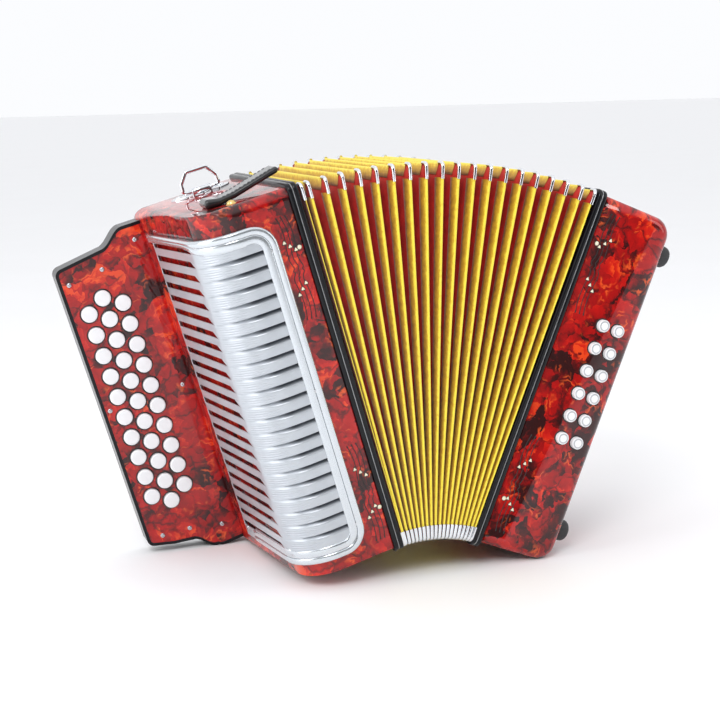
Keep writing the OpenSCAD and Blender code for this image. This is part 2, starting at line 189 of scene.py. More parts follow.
def pearl_celluloid():
    """Red pearl: crumpled patches with dark veins and bright orange glints, under a clear gloss."""
    s = Shader("red_pearl", Coat_Weight=1.0, Coat_Roughness=0.015, Coat_IOR=1.5, Specular_IOR_Level=0.1)
    warp = s.noise(s.place(30.0), 4.0, 0.6).outputs["Color"]
    push = s.node("VectorMath", {0: warp, "Scale": 30.0}, operation="SCALE").outputs[0]
    shifted = s.vector("ADD", s.place(), push)
    parts = []
    for size, weight in ((30.0, 0.6), (10.0, 0.4)):
        scaled = s.shrink(shifted, size)
        cells = s.node("TexVoronoi", {"Vector": scaled, "Scale": 1.0, "Randomness": 1.0})
        away = s.vector("SUBTRACT", scaled, cells.outputs["Position"])
        turn = s.vector("SUBTRACT", cells.outputs["Color"], (0.5, 0.5, 0.5))
        lean = s.node("VectorMath", {0: away, 1: turn}, operation="DOT_PRODUCT").outputs["Value"]
        tone = s.node("SeparateColor", {"Color": cells.outputs["Color"]}).outputs[0]
        mixed = s.math("ADD", s.math("MULTIPLY", lean, 1.6), s.remap(tone, 0.0, 1.0, 0.05, 0.95))
        parts.append(s.math("MULTIPLY", mixed, weight))
    streaks = s.noise(s.place(14.0), 5.0, 0.62, 1.6).outputs["Fac"]
    level = s.math("ADD", s.math("ADD", parts[0], parts[1]), s.remap(streaks, 0.3, 0.7, -0.12, 0.12))
    tone = s.ramp(level, [(0.08, (0.030, 0.002, 0.002)), (0.22, (0.10, 0.002, 0.002)),
                          (0.36, (0.31, 0.002, 0.002)), (0.66, (0.47, 0.004, 0.003)),
                          (0.86, (0.60, 0.014, 0.005)), (1.0, (0.78, 0.060, 0.010))])
    edge = s.node("TexVoronoi", {"Vector": s.shrink(shifted, 21.0), "Scale": 1.0},
                  feature="DISTANCE_TO_EDGE").outputs["Distance"]
    breaks = s.noise(s.place(18.0), 2.0, 0.5).outputs["Fac"]
    vein = s.math("MULTIPLY", s.remap(edge, 0.0, 0.075, 1.0, 0.0), s.remap(breaks, 0.42, 0.56, 0.0, 0.85))
    veined = s.mix(vein, tone, (0.035, 0.003, 0.004))
    ridge = s.math("MULTIPLY", s.remap(edge, 0.05, 0.09, 0.0, 1.0), s.remap(edge, 0.10, 0.17, 1.0, 0.0))
    glint = s.math("MULTIPLY", ridge, s.remap(breaks, 0.36, 0.46, 0.75, 0.0))
    s.link(s.mix(glint, veined, (0.88, 0.115, 0.018)), "Base Color")
    s.link(s.remap(level, 0.2, 0.9, 0.55, 0.35), "Roughness")
    s.bump(level, 0.04, 0.1)
    return s.material


def plain(name, colour, rough, grain=3.0, spread=0.15, bump=0.1, depth=0.2, **values):
    """One tone with a fine grain in its colour, gloss and surface."""
    s = Shader(name, **values)
    spots = s.noise(s.place(grain), 6.0, 0.6).outputs["Fac"]
    low = tuple(c * (1 - spread) for c in colour)
    high = tuple(min(1.0, c * (1 + spread)) for c in colour)
    s.link(s.ramp(spots, [(0.3, low), (0.7, high)]), "Base Color")
    s.link(s.remap(spots, 0.3, 0.7, rough * 0.9, min(1.0, rough * 1.15)), "Roughness")
    s.bump(spots, bump, depth)
    return s.material


def chrome():
    return plain("chrome", (0.80, 0.82, 0.85), 0.09, 14.0, 0.04, 0.03, 0.1, Metallic=1.0)


# pitch of the pressed dots and lines on the grille's front, in millimetres
DOT_PITCH = 1.7
LINE_PITCH = 2.03


def grille_metal():
    """Bright pressed metal with painted shade in the louvres' recesses; the front carries fine dots towards
    the border and fine lines elsewhere.
    """
    s = Shader("grille_metal", Metallic=0.5, Coat_Weight=0.25, Coat_Roughness=0.2)
    spots = s.noise(s.place(9.0), 5.0, 0.55).outputs["Fac"]
    bright = s.ramp(spots, [(0.3, (0.52, 0.555, 0.60)), (0.7, (0.57, 0.605, 0.65))])
    # painted shade: the base colour goes to near black where a louvre's recess lies under the step above it
    s.link(s.mix(s.attribute("louvre_painted_shade"), bright, (0.045, 0.05, 0.065)), "Base Color")
    s.link(s.remap(spots, 0.3, 0.7, 0.28, 0.4), "Roughness")
    uv = s.node("SeparateXYZ", {"Vector": s.coords.outputs["UV"]})
    along, up = uv.outputs[0], uv.outputs[1]
    waves = [s.math("SINE", s.math("MULTIPLY", v, TAU / DOT_PITCH)) for v in (along, up)]
    dots = s.math("MAXIMUM", s.math("MULTIPLY", waves[0], waves[1]), 0.0)
    ridges = s.math("SINE", s.math("MULTIPLY", up, TAU / LINE_PITCH))
    height = s.math("ADD", s.math("MULTIPLY", dots, s.attribute("dots")),
                    s.math("MULTIPLY", ridges, s.attribute("lines")))
    s.bump(height, 0.45, 0.22)
    return s.material


def lacquer():
    return plain("black_lacquer", (0.006, 0.006, 0.008), 0.3, 20.0, 0.3, 0.04, 0.1, Coat_Weight=0.35,
                 Coat_Roughness=0.06, Specular_IOR_Level=0.1)


def button_white():
    return plain("button_white", (0.92, 0.93, 0.95), 0.4, 5.0, 0.02, 0.03, 0.05, Coat_Weight=0.12,
                 Coat_Roughness=0.2)


def leather():
    s = Shader("black_leather", Coat_Weight=1.0, Coat_Roughness=0.12, Specular_IOR_Level=0.3)
    cells = s.node("TexVoronoi", {"Vector": s.place(1.4), "Scale": 1.0})
    wear = s.noise(s.place(22.0), 4.0, 0.6).outputs["Fac"]
    s.link(s.ramp(wear, [(0.3, (0.006, 0.006, 0.007)), (0.75, (0.018, 0.018, 0.021))]), "Base Color")
    s.link(s.remap(wear, 0.3, 0.7, 0.3, 0.48), "Roughness")
    s.bump(cells.outputs["Distance"], 0.35, 0.25)
    return s.material


def cloth(name, dark, light, grain):
    """Bookcloth or tape with a fine weave and soft mottling."""
    s = Shader(name, Roughness=0.62, Sheen_Weight=0.15)
    spots = s.noise(s.place(grain), 4.0, 0.6).outputs["Fac"]
    s.link(s.ramp(spots, [(0.32, dark), (0.68, light)]), "Base Color")
    threads = s.node("TexWave", {"Vector": s.place(0.9), "Scale": 1.0, "Distortion": 1.0})
    s.bump(threads.outputs["Fac"], 0.25, 0.12)
    return s.material


def tape_cloth():
    """Woven yellow tape, mottled, with a painted highlight along the fold and painted shade that turns it
    brown towards its inner edge in the valley.
    """
    s = Shader("bellows_yellow_tape", Roughness=0.55, Sheen_Weight=0.2)
    spots = s.noise(s.place(4.5), 3.0, 0.6).outputs["Fac"]
    weave = s.node("TexWave", {"Vector": s.place(1.5), "Scale": 1.0, "Distortion": 1.5}).outputs["Fac"]
    # level runs from the painted highlight at the fold to the painted shade at the tape's inner edge
    level = s.math("ADD", s.math("ADD", s.attribute("inner"), s.remap(spots, 0.3, 0.7, -0.16, 0.16)),
                   s.remap(weave, 0.0, 1.0, -0.03, 0.03))
    s.link(s.ramp(level, [(0.06, (0.95, 0.78, 0.06)), (0.22, (0.80, 0.52, 0.015)),
                          (0.55, (0.56, 0.31, 0.006)), (0.95, (0.22, 0.09, 0.006))]), "Base Color")
    s.bump(weave, 0.35, 0.15)
    return s.material


def wood():
    s = Shader("reed_wood", Roughness=0.55)
    rings = s.node("TexWave", {"Vector": s.place(30.0), "Scale": 2.0, "Distortion": 6.0, "Detail": 3.0})
    s.link(s.ramp(rings.outputs["Fac"], [(0.0, (0.42, 0.24, 0.11)), (1.0, (0.60, 0.40, 0.21))]), "Base Color")
    s.bump(rings.outputs["Fac"], 0.1, 0.2)
    return s.material


RED = pearl_celluloid()
CHROME = chrome()
GRILLE = grille_metal()
BLACK = lacquer()
WHITE = button_white()
LEATHER = leather()
RED_CLOTH = cloth("bellows_red_cloth", (0.46, 0.010, 0.006), (0.70, 0.018, 0.010), 9.0)
YELLOW_CLOTH = tape_cloth()
RUBBER = plain("black_rubber", (0.03, 0.03, 0.032), 0.55, 2.0, 0.3, 0.2, 0.2)
SATIN = plain("satin_grey", (0.55, 0.56, 0.58), 0.3, 6.0, 0.08, 0.05, 0.1, Metallic=0.8)
STEEL = plain("steel", (0.55, 0.56, 0.58), 0.25, 4.0, 0.08, 0.08, 0.1, Metallic=1.0)
BRASS = plain("brass", (0.80, 0.56, 0.22), 0.2, 4.0, 0.08, 0.08, 0.1, Metallic=1.0)
# black for the printed ornament lines and for the painted shadow rings round the buttons
INK_AND_SHADOW = plain("black_ink_and_shadow", (0.01, 0.008, 0.008), 0.35, 3.0, 0.2, 0.02, 0.02)
CREAM = plain("cream_dot", (0.88, 0.83, 0.62), 0.3, 3.0, 0.05, 0.02, 0.02, Coat_Weight=0.5)
THREAD = plain("grey_thread", (0.16, 0.16, 0.17), 0.7, 0.6, 0.3, 0.4, 0.1)
WOOD = wood()


# ---- mesh building ----
def make(name, verts, faces, side, material, smooth=True, uv=None):
    """A mesh object from points in a casing's frame, in millimetres, or in the shared one, in metres."""
    points = side.world(verts) if side else np.asarray(verts, float)
    data = bpy.data.meshes.new(name)
    data.from_pydata([tuple(p) for p in points], [], [tuple(int(i) for i in f) for f in faces])
    data.validate()
    data.polygons.foreach_set("use_smooth", [smooth] * len(data.polygons))
    if uv is not None:
        layer = data.uv_layers.new(name="UVMap")
        corner = np.zeros(len(data.loops), int)
        data.loops.foreach_get("vertex_index", corner)
        layer.data.foreach_set("uv", np.asarray(uv, float)[corner].astype(np.float32).ravel())
    data.materials.append(material)
    data.update()
    piece = bpy.data.objects.new(name, data)
    bpy.context.scene.collection.objects.link(piece)
    return piece


def grid_faces(rows, columns, wrap_rows=False, wrap_columns=False, start=0):
    faces = []
    for i in range(rows if wrap_rows else rows - 1):
        for j in range(columns if wrap_columns else columns - 1):
            a, b = i * columns, ((i + 1) % rows) * columns
            k = (j + 1) % columns
            faces.append((start + a + j, start + a + k, start + b + k, start + b + j))
    return faces


class Pile:
    """Collects several shapes into one mesh."""

    def __init__(self):
        self.verts, self.faces = [], []
        self.count = 0

    def add(self, verts, faces):
        verts = np.asarray(verts, float).reshape(-1, 3)
        self.verts.append(verts)
        self.faces += [tuple(i + self.count for i in f) for f in faces]
        self.count += len(verts)

    def grid(self, points, wrap_rows=False, wrap_columns=False, caps=False):
        points = np.asarray(points, float)
        rows, columns = points.shape[:2]
        faces = grid_faces(rows, columns, wrap_rows, wrap_columns)
        if caps:
            faces += [tuple(range(columns))[::-1],
                      tuple((rows - 1) * columns + j for j in range(columns))]
        self.add(points.reshape(-1, 3), faces)

    def piece(self, name, side, material, smooth=True):
        return make(name, np.concatenate(self.verts), self.faces, side, material, smooth)


def thicken(piece, thickness):
    """Gives a sheet a thickness towards its inside."""
    wall = piece.modifiers.new("wall", "SOLIDIFY")
    wall.thickness = thickness * MM
    wall.offset = -1.0


def finish_edges(piece, angle, width=0.0, thickness=0.0):
    """Consistent outward faces, then thickness, bevel and smooth shading by angle."""
    mesh = bmesh.new()
    mesh.from_mesh(piece.data)
    bmesh.ops.recalc_face_normals(mesh, faces=mesh.faces)
    mesh.to_mesh(piece.data)
    mesh.free()
    if thickness:
        thicken(piece, thickness)
    if width:
        bevel = piece.modifiers.new("edges", "BEVEL")
        bevel.width = width * MM
        bevel.segments = 2
        bevel.limit_method = "ANGLE"
        bevel.angle_limit = math.radians(angle)
        bevel.harden_normals = True
    piece.data.set_sharp_from_angle(angle=math.radians(angle + 8))
    return piece


def run_along(path):
    """Distance from the start of a path to each of its points."""
    return np.concatenate([[0], np.cumsum(np.linalg.norm(np.diff(path, axis=0), axis=1))])


def rounded_path(corners, radii, steps=8, closed=False):
    """Points of a 2-D path whose corners are arcs."""
    corners = [np.array(c, float) for c in corners]
    n = len(corners)
    out = []
    for i, c in enumerate(corners):
        r = radii[i] if hasattr(radii, "__len__") else radii
        if (not closed and i in (0, n - 1)) or r <= 0:
            out.append(c)
            continue
        a, b = corners[i - 1] - c, corners[(i + 1) % n] - c
        a, b = a / np.linalg.norm(a), b / np.linalg.norm(b)
        half = math.acos(max(-1.0, min(1.0, float(a @ b)))) / 2
        reach = r / math.tan(half)
        middle = (a + b) / np.linalg.norm(a + b)
        centre = c + middle * r / math.sin(half)
        p, q = c + a * reach - centre, c + b * reach - centre
        turn = math.atan2(p[0] * q[1] - p[1] * q[0], p @ q)
        for k in range(steps + 1):
            t = turn * k / steps
            cs, sn = math.cos(t), math.sin(t)
            out.append(centre + np.array((p[0] * cs - p[1] * sn, p[0] * sn + p[1] * cs)))
    return np.array(out)


def tube(points, radius, sides):
    """Round bar along 3-D points: (rows, sides, 3)."""
    points = np.asarray(points, float)
    ahead = np.roll(points, -1, 0) - np.roll(points, 1, 0)
    ahead[0], ahead[-1] = points[1] - points[0], points[-1] - points[-2]
    ahead /= np.linalg.norm(ahead, axis=1)[:, None]
    normal = np.cross(ahead[0], (0.3, 0.5, 0.8))
    rings = []
    radius = np.broadcast_to(radius, len(points))
    for p, t, r in zip(points, ahead, radius):
        normal = normal - t * (normal @ t)
        normal /= np.linalg.norm(normal)
        side = np.cross(t, normal)
        a = np.arange(sides) * TAU / sides
        rings.append(p + r * (np.cos(a)[:, None] * normal + np.sin(a)[:, None] * side))
    return np.array(rings)


def lathe(profile, centre, axis, steps=32):
    """Surface of revolution: profile of (radius, height) about an axis through centre."""
    axis = np.array(axis, float) / np.linalg.norm(axis)
    first = np.cross(axis, (0.2, 0.9, 0.4))
    first /= np.linalg.norm(first)
    second = np.cross(axis, first)
    a = np.arange(steps) * TAU / steps
    ring = np.cos(a)[:, None] * first + np.sin(a)[:, None] * second
    return np.array([np.array(centre) + max(r, 0.01) * ring + h * axis for r, h in profile])


def arc_profile(radius, height, edge, dome, steps=6):
    """Button profile: flat or slightly domed top with a round edge."""
    points = [(0.0, height + dome)]
    points += [((radius - edge) * k / 4, height + dome * (1 - (k / 4) ** 2)) for k in range(1, 4)]
    for k in range(steps + 1):
        t = math.pi / 2 * k / steps
        points.append((radius - edge + edge * math.sin(t), height - edge + edge * math.cos(t)))
    points.append((radius, 0.0))
    return points


def ride(piece, body, slot=None, *replaced):
    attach(piece, body)
    if replaced:
        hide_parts(*replaced)
    return piece


# ---- casings ----
WALL = 4.0
FLANK_TURN = math.radians(185.8)
NOSE_R = 33.5
NOSE = np.array((-47.5, NOSE_R - treble.half_d))
BACK_R = 6.0
BACK = np.array((BACK_R - treble.width, treble.half_d - BACK_R))
CROWN_R = 16.5
LID_R = 9.0
EDGE_R = 1.3
LEVER_SLOT = ((76.0, 85.0), (44.0, 277.0))


def arc2(centre, radius, start, end, steps):
    a = np.linspace(start, end, steps + 1)
    return np.stack([centre[0] + radius * np.cos(a), centre[1] + radius * np.sin(a)], -1)


def span(p, q, steps):
    t = np.linspace(0, 1, steps + 1)[:, None]
    return np.array(p, float) * (1 - t) + np.array(q, float) * t


def treble_outline():
    """Plan of the treble casing, from the bellows edge round the front, flank and back."""
    front, back = -treble.half_d, treble.half_d
    nose_start = NOSE + NOSE_R * np.array((math.cos(FLANK_TURN), math.sin(FLANK_TURN)))
    back_start = BACK + BACK_R * np.array((math.cos(FLANK_TURN), math.sin(FLANK_TURN)))
    along = (back_start - nose_start) / (back_start[1] - nose_start[1])
    low, high = (nose_start + along * (y - nose_start[1]) for y in LEVER_SLOT[0])
    parts = [arc2((-EDGE_R, front + EDGE_R), EDGE_R, 0, -math.pi / 2, 5),
             span((-EDGE_R, front), (NOSE[0], front), 16)[1:],
             arc2(NOSE, NOSE_R, -math.pi / 2, FLANK_TURN - TAU, 30)[1:],
             span(nose_start, low, 22)[1:], span(low, high, 3)[1:], span(high, back_start, 2)[1:],
             arc2(BACK, BACK_R, FLANK_TURN, math.pi / 2, 8)[1:],
             span((BACK[0], back), (-EDGE_R, back), 24)[1:],
             arc2((-EDGE_R, back - EDGE_R), EDGE_R, math.pi / 2, 0, 5)[1:]]
    return np.concatenate(parts)


def treble_casing():
    outline = treble_outline()
    top = treble.height
    crown_w, lid_w = top - CROWN_R, top - LID_R
    crown_u = CROWN_R - treble.width - 2.5
    steps = np.linspace(0, math.pi / 2, 13)[1:]
    slot_low, slot_high = LEVER_SLOT[1]
    levels = np.concatenate([[0.0, slot_low], np.linspace(80, 250, 5), [slot_high, 296.0, crown_w],
                             crown_w + CROWN_R * np.sin(steps), lid_w + LID_R * np.sin(steps)])
    levels = np.unique(np.round(levels, 3))
    rings = []
    for w in levels:
        ring = np.column_stack([outline, np.full(len(outline), w)])
        if w > crown_w:
            limit = crown_u - math.sqrt(max(0.0, CROWN_R ** 2 - (w - crown_w) ** 2))
            ring[:, 0] = np.maximum(ring[:, 0], limit)
        if w > lid_w:
            limit = treble.half_d - LID_R + math.sqrt(max(0.0, LID_R ** 2 - (w - lid_w) ** 2))
            ring[:, 1] = np.clip(ring[:, 1], -limit, limit)
        rings.append(ring)
    rings = np.array(rings)
    columns = len(outline)
    faces = [f for f in grid_faces(len(levels), columns)
             if not in_lever_slot(rings.reshape(-1, 3)[list(f)])]
    last = (len(levels) - 1) * columns
    faces += [tuple(range(columns))[::-1], tuple(last + j for j in range(columns))]
    piece = make("treble_casing_shell", rings.reshape(-1, 3), faces, treble, RED)
    tidy_mesh(piece)
    finish_edges(piece, 28.0, 0.5, WALL)
    return ride(piece, "treble", "red_celluloid", "treble_casing")


def in_lever_slot(corners):
    middle = corners.mean(0)
    (y0, y1), (w0, w1) = LEVER_SLOT
    return middle[0] < -80 and y0 < middle[1] < y1 and w0 < middle[2] < w1


def tidy_mesh(piece, distance=0.02):
    mesh = bmesh.new()
    mesh.from_mesh(piece.data)
    bmesh.ops.remove_doubles(mesh, verts=mesh.verts, dist=distance * MM)
    bmesh.ops.dissolve_degenerate(mesh, edges=mesh.edges, dist=distance * MM / 2)
    mesh.to_mesh(piece.data)
    mesh.free()


BASS_R = 17.0
BASS_EDGE = 10.0


def bass_casing():
    low, high = -2.0, bass.height
    steps = np.linspace(0, math.pi / 2, 11)
    insets = [BASS_EDGE * (1 - math.cos(a)) for a in steps[::-1]]
    depths = [-bass.half_d + BASS_EDGE * (1 - math.sin(a)) for a in steps[::-1]]
    middle = np.linspace(depths[-1], -depths[-1], 15)[1:-1]
    insets = insets + [0.0] * len(middle) + insets[::-1]
    depths = depths + list(middle) + [-d for d in depths[::-1]]
    rings = []
    for y, d in zip(depths, insets):
        path = rounded_path([(0, low + d), (bass.width - d, low + d), (bass.width - d, high - d),
                             (0, high - d)], [0, BASS_R - d, BASS_R - d, 0], 12)
        rings.append(np.column_stack([path[:, 0], np.full(len(path), y), path[:, 1]]))
    pile = Pile()
    pile.grid(rings, caps=True)
    piece = pile.piece("bass_casing_shell", bass, RED)
    finish_edges(piece, 30.0, 0.0, WALL)
    return ride(piece, "bass", "red_celluloid", "bass_casing")


# ---- grille: a pressed sheet laid round the front and the flank ----
OUT = 4.5
GRILLE_LOW, GRILLE_TOP = 13.0, 303.0
GRILLE_REAR = 40.0
GRILLE_RIGHT = -21.5
BAND_END = -33.5
FIRST_SLOT = 36.5
SLOT_PITCH = 12.2
SLOT_H = 5.3
SLOTS = 22
LOUVRE_DEPTH = 3.3
DOTS_FROM = -66.0
FLANK_N = np.array((math.cos(FLANK_TURN), math.sin(FLANK_TURN)))
FLANK_T = np.array((-FLANK_N[1], FLANK_N[0]))
CREASE = NOSE + (NOSE_R + OUT) * FLANK_N
FLANK_LENGTH = (CREASE[1] - GRILLE_REAR) / FLANK_T[1]
NOSE_TURN = 1.5 * math.pi - FLANK_TURN
NOSE_LENGTH = (NOSE_R + OUT) * NOSE_TURN
SHEET_LENGTH = FLANK_LENGTH + NOSE_LENGTH + GRILLE_RIGHT - NOSE[0]


def on_sheet(s, h):
    """Plan point at a distance s along the grille from its rear edge, raised by h."""
    s, h = np.broadcast_arrays(np.asarray(s, float), np.asarray(h, float))
    turn = FLANK_TURN + np.clip((s - FLANK_LENGTH) / (NOSE_R + OUT), 0, NOSE_TURN)
    radius = NOSE_R + OUT + h
    u = NOSE[0] + radius * np.cos(turn)
    y = NOSE[1] + radius * np.sin(turn)
    before = np.minimum(s - FLANK_LENGTH, 0)
    after = np.maximum(s - FLANK_LENGTH - NOSE_LENGTH, 0)
    return u + before * FLANK_T[0] + after, y + before * FLANK_T[1]


def sheet_points(s, w, h):
    u, y = on_sheet(s, h)
    return np.stack([u, y, np.broadcast_to(w, u.shape)], -1)


def at_front(u):
    return FLANK_LENGTH + NOSE_LENGTH + u - NOSE[0]


def at_flank(y):
    return FLANK_LENGTH + (y - CREASE[1]) / FLANK_T[1]


def smooth(t):
    t = np.clip(t, 0, 1)
    return t * t * (3 - 2 * t)


SLOT_START = at_flank(GRILLE_REAR - 5)
SLOT_END = FLANK_LENGTH - 2.0
SLOT_TIP = 9.0


def slat_rows():
    """Rows of one slot and the slat above it: (height on the flank, height on the front, depth)."""
    rows = [(0.0, 2.2, 0.0), (0.35, 2.5, 0.0), (1.7, 3.6, 0.0), (3.4, 4.8, 0.0), (4.95, 6.0, 0.0),
            (SLOT_H, 6.3, 0.0), (5.7, 6.7, 0.0), (7.2, 7.6, 0.0), (9.0, 8.4, 0.0), (10.6, 9.2, 0.0)]
    for k in range(7):
        t = k / 6
        rows.append((11.2 + 0.85 * t, 9.8 + 4.45 * t, math.sin(t * math.pi / 2) ** 1.3))
    return rows


def outside_corner(s, w, corner=17.0, inset=3.0):
    """Whether a point of the sheet lies beyond its rounded corners towards the bellows."""
    across = s - (SHEET_LENGTH - inset - corner)
    up = abs(w - (GRILLE_TOP + GRILLE_LOW) / 2) - ((GRILLE_TOP - GRILLE_LOW) / 2 - inset - corner)
    return across > 0 and up > 0 and math.hypot(across, up) > corner


def grille_sheet():
    band_end = at_front(BAND_END)
    stations = np.unique(np.round(np.concatenate([
        np.linspace(0, SLOT_START, 7), np.linspace(SLOT_START, SLOT_END - 6, 16),
        np.linspace(SLOT_END - 6, SLOT_END + 1, 6), [SLOT_END],
        np.linspace(SLOT_END + 1, FLANK_LENGTH + NOSE_LENGTH, 44),
        np.linspace(at_front(NOSE[0]), band_end, 9), [band_end + 0.25],
        np.linspace(band_end + 2.0, SHEET_LENGTH - 2.0, 8)]), 3))
    start, stop = FLANK_LENGTH - 4, at_front(-52.0)
    t = smooth((stations - start) / (stop - start))
    open_end = stations <= band_end + 0.1
    # kinds: whether a row lies in a slot of the flank, and whether it lies in the front's pattern
    heights, depths, kinds = [], [], []
    for w in (GRILLE_LOW + 1.0, 18.0, 21.5):
        heights.append(np.full(len(stations), w))
        depths.append(np.zeros(len(stations)))
        kinds.append((0, 0))
    for k in range(-1, SLOTS):
        base = FIRST_SLOT + SLOT_PITCH * k
        for i, (on_flank, on_front, depth) in enumerate(slat_rows()):
            w = base + on_flank + (on_front - on_flank) * t
            if w.max() > GRILLE_TOP - 1:
                continue
            heights.append(w)
            depths.append(depth * LOUVRE_DEPTH * t ** 1.2 * open_end if k < SLOTS - 2 else 0 * t)
            kinds.append((1 if i < 5 else 0, 1 if i < 9 else 0))
    heights.append(np.full(len(stations), GRILLE_TOP - 1.0))
    depths.append(np.zeros(len(stations)))
    kinds.append((0, 0))
    heights, depths = np.array(heights), np.array(depths)
    rear = -(OUT - 1.1) * (1 - smooth(stations / (SLOT_START - 0.5)))
    near_end = np.exp(-((stations - SLOT_END) / 7.0) ** 4)
    phase = ((heights - FIRST_SLOT) % SLOT_PITCH)
    shear = np.where(phase < SLOT_H, 1 - phase / SLOT_H, (phase - SLOT_H) / (SLOT_PITCH - SLOT_H))
    s = stations[None, :] + SLOT_TIP * (shear - 0.5) * near_end[None, :]
    points = sheet_points(s, heights, rear[None, :] - depths)
    faces, rows, columns = [], len(heights), len(stations)
    for i in range(rows - 1):
        for j in range(columns - 1):
            middle = (stations[j] + stations[j + 1]) / 2
            if kinds[i][0] and SLOT_START < middle < SLOT_END:
                continue
            if outside_corner(middle, heights[i, j]) or outside_corner(middle, heights[i + 1, j]):
                continue
            a, b = i * columns + j, (i + 1) * columns + j
            faces.append((a, a + 1, b + 1, b))
    uv = np.stack([s, heights], -1).reshape(-1, 2)
    piece = make("grille_sheet", points.reshape(-1, 3), faces, treble, GRILLE, uv=uv)
    on_band = np.array([k[1] for k in kinds])[:, None]
    past_dots = s - at_front(DOTS_FROM)
    dots = on_band * smooth(past_dots / 12) * (s < band_end)
    lines = on_band * smooth((s - SLOT_END - 6) / 10) * (1 - smooth(past_dots / 12))
    # painted shade for the louvres: darker the deeper a row lies in its recess, weak on the flank and
    # strongest on the front past where the dots begin
    shade = (depths / LOUVRE_DEPTH) ** 0.35 * (0.25 + 0.75 * smooth(past_dots / 14))
    for name, values in (("dots", dots), ("lines", lines), ("louvre_painted_shade", np.clip(shade, 0, 1))):
        layer = piece.data.attributes.new(name, "FLOAT", "POINT")
        layer.data.foreach_set("value", np.ascontiguousarray(values, np.float32).ravel())
    thicken(piece, 0.8)
    piece.data.set_sharp_from_angle(angle=math.radians(38))
    return ride(piece, "treble", "chrome", "treble_grille")


RIM_CORNER = 20.0


def rim_path(inset, corner):
    """The border's line on the unrolled sheet, from the flank's top round to its bottom."""
    low, high, right = GRILLE_LOW + inset, GRILLE_TOP - inset, SHEET_LENGTH - inset
    path = rounded_path([(at_flank(59), high), (right, high), (right, low), (at_flank(26), low)],
                        [0, corner - inset, corner - inset, 0], 14)
    out = []
    for p, q in zip(path[:-1], path[1:]):
        n = max(1, int(np.linalg.norm(q - p) / 3.0))
        out += [p + (q - p) * k / n for k in range(n)]
    return np.array(out + [path[-1]])


def grille_rim():
    profile = [(0.0, -3.9), (0.0, -0.6), (0.35, 0.15), (1.2, 0.65), (2.6, 0.85), (4.2, 0.7), (5.2, 0.25),
               (5.6, -0.25), (6.0, -0.3), (6.4, 0.1), (7.0, 0.35), (9.5, 0.45), (11.6, 0.35), (12.3, 0.0),
               (12.4, -0.7)]
    even = np.linspace(0, 1, len(rim_path(0.0, RIM_CORNER)))
    rows = []
    for inset, h in profile:
        path = rim_path(inset, RIM_CORNER)
        steps = run_along(path)
        # the same share of each straight and corner, so that rows stay level with each other
        s = np.interp(even, steps / steps[-1], path[:, 0])
        w = np.interp(even, steps / steps[-1], path[:, 1])
        flank = smooth((s - at_flank(30)) / 30.0)
        width = np.where(w > 150, 0.45 + 0.55 * smooth((s - FLANK_LENGTH + 20) / 50.0), 0.6 + 0.4 * flank)
        edge = np.where(w > 150, GRILLE_TOP, GRILLE_LOW)
        w = np.where(s < at_front(-45.0), edge + (w - edge) * width, w)
        end = smooth(np.minimum(even, 1 - even) * 40)
        rows.append(sheet_points(s, w, h - (1 - end) * (3.6 if h > -1 else 0)))
    pile = Pile()
    pile.grid(rows)
    piece = pile.piece("grille_rim", treble, CHROME_WHITE)
    thicken(piece, 0.6)
    return ride(piece, "treble", "chrome")


def capsule_bar(name, s0, s1, w, half, rise, base, material):
    """Blank rounded bar lying along the sheet."""
    rows = []
    for k in range(9):
        a = math.pi * k / 8
        row = []
        for x in np.linspace(0, 1, 40):
            s = s0 + (s1 - s0) * x
            end = min(s - s0, s1 - s)
            keep = math.sqrt(max(0.0, 1 - max(0.0, 1 - end / half) ** 2))
            row.append((s, w - half * keep * math.cos(a), base + rise * keep * math.sin(a)))
        rows.append(row)
    rows = np.array(rows)
    pile = Pile()
    pile.grid(sheet_points(rows[..., 0], rows[..., 1], rows[..., 2]))
    return ride(pile.piece(name, treble, material), "treble", "chrome")


def screw(pile, centre, axis, radius, rise):
    """Domed head with a small recess in its middle."""
    profile = [(0.01, rise * 0.72), (radius * 0.12, rise * 0.72), (radius * 0.16, rise),
               (radius * 0.5, rise * 0.93), (radius * 0.8, rise * 0.66), (radius * 0.97, rise * 0.25),
               (radius, 0.0), (radius, -0.3)]
    pile.grid(lathe(profile, centre, axis, 20), wrap_columns=True)


def grille_screws():
    pile = Pile()
    for w in (36.0, 158.0, 280.0):
        screw(pile, sheet_points(at_front(-28.5), w, 0.4), (0, -1, 0), 2.5, 0.5)
    for s in (at_flank(29), FLANK_LENGTH + 12.0):
        turn = FLANK_TURN + max(0.0, (s - FLANK_LENGTH)) / (NOSE_R + OUT)
        for w in (298.6, 22.0):
            screw(pile, sheet_points(s, w, 0.1), (math.cos(turn), math.sin(turn), 0), 2.5, 1.0)
    return ride(pile.piece("grille_screws", treble, STEEL), "treble", "chrome")


# ---- bellows ----
FAN_R = 126.0
FRAME_T = 9.0
FRAME_HALF_D = 94.0
FOLDS = 20
FOLD_DEPTH = 24.0
RIDGE_LOW, RIDGE_HIGH = FAN_R - 1.5, FAN_R + 322.0
RIDGE_Y = treble.half_d
# share of the opening at which each ridge stands; the first and last stand beside the frames
RIDGES = np.array([0.012] + [(k - 0.35) / (FOLDS - 1.25) for k in range(1, FOLDS - 1)] + [0.988])
OPEN = math.acos(float(np.clip(treble.w @ bass.w, -1, 1)))


def fan_centre():
    """Where the two casings' bellows planes meet."""
    across = np.stack([treble.w, -bass.w], -1)[[0, 2]]
    gap = (bass.origin - treble.origin)[[0, 2]]
    return treble.origin + np.linalg.solve(across, gap)[0] * treble.w


CENTRE = fan_centre()


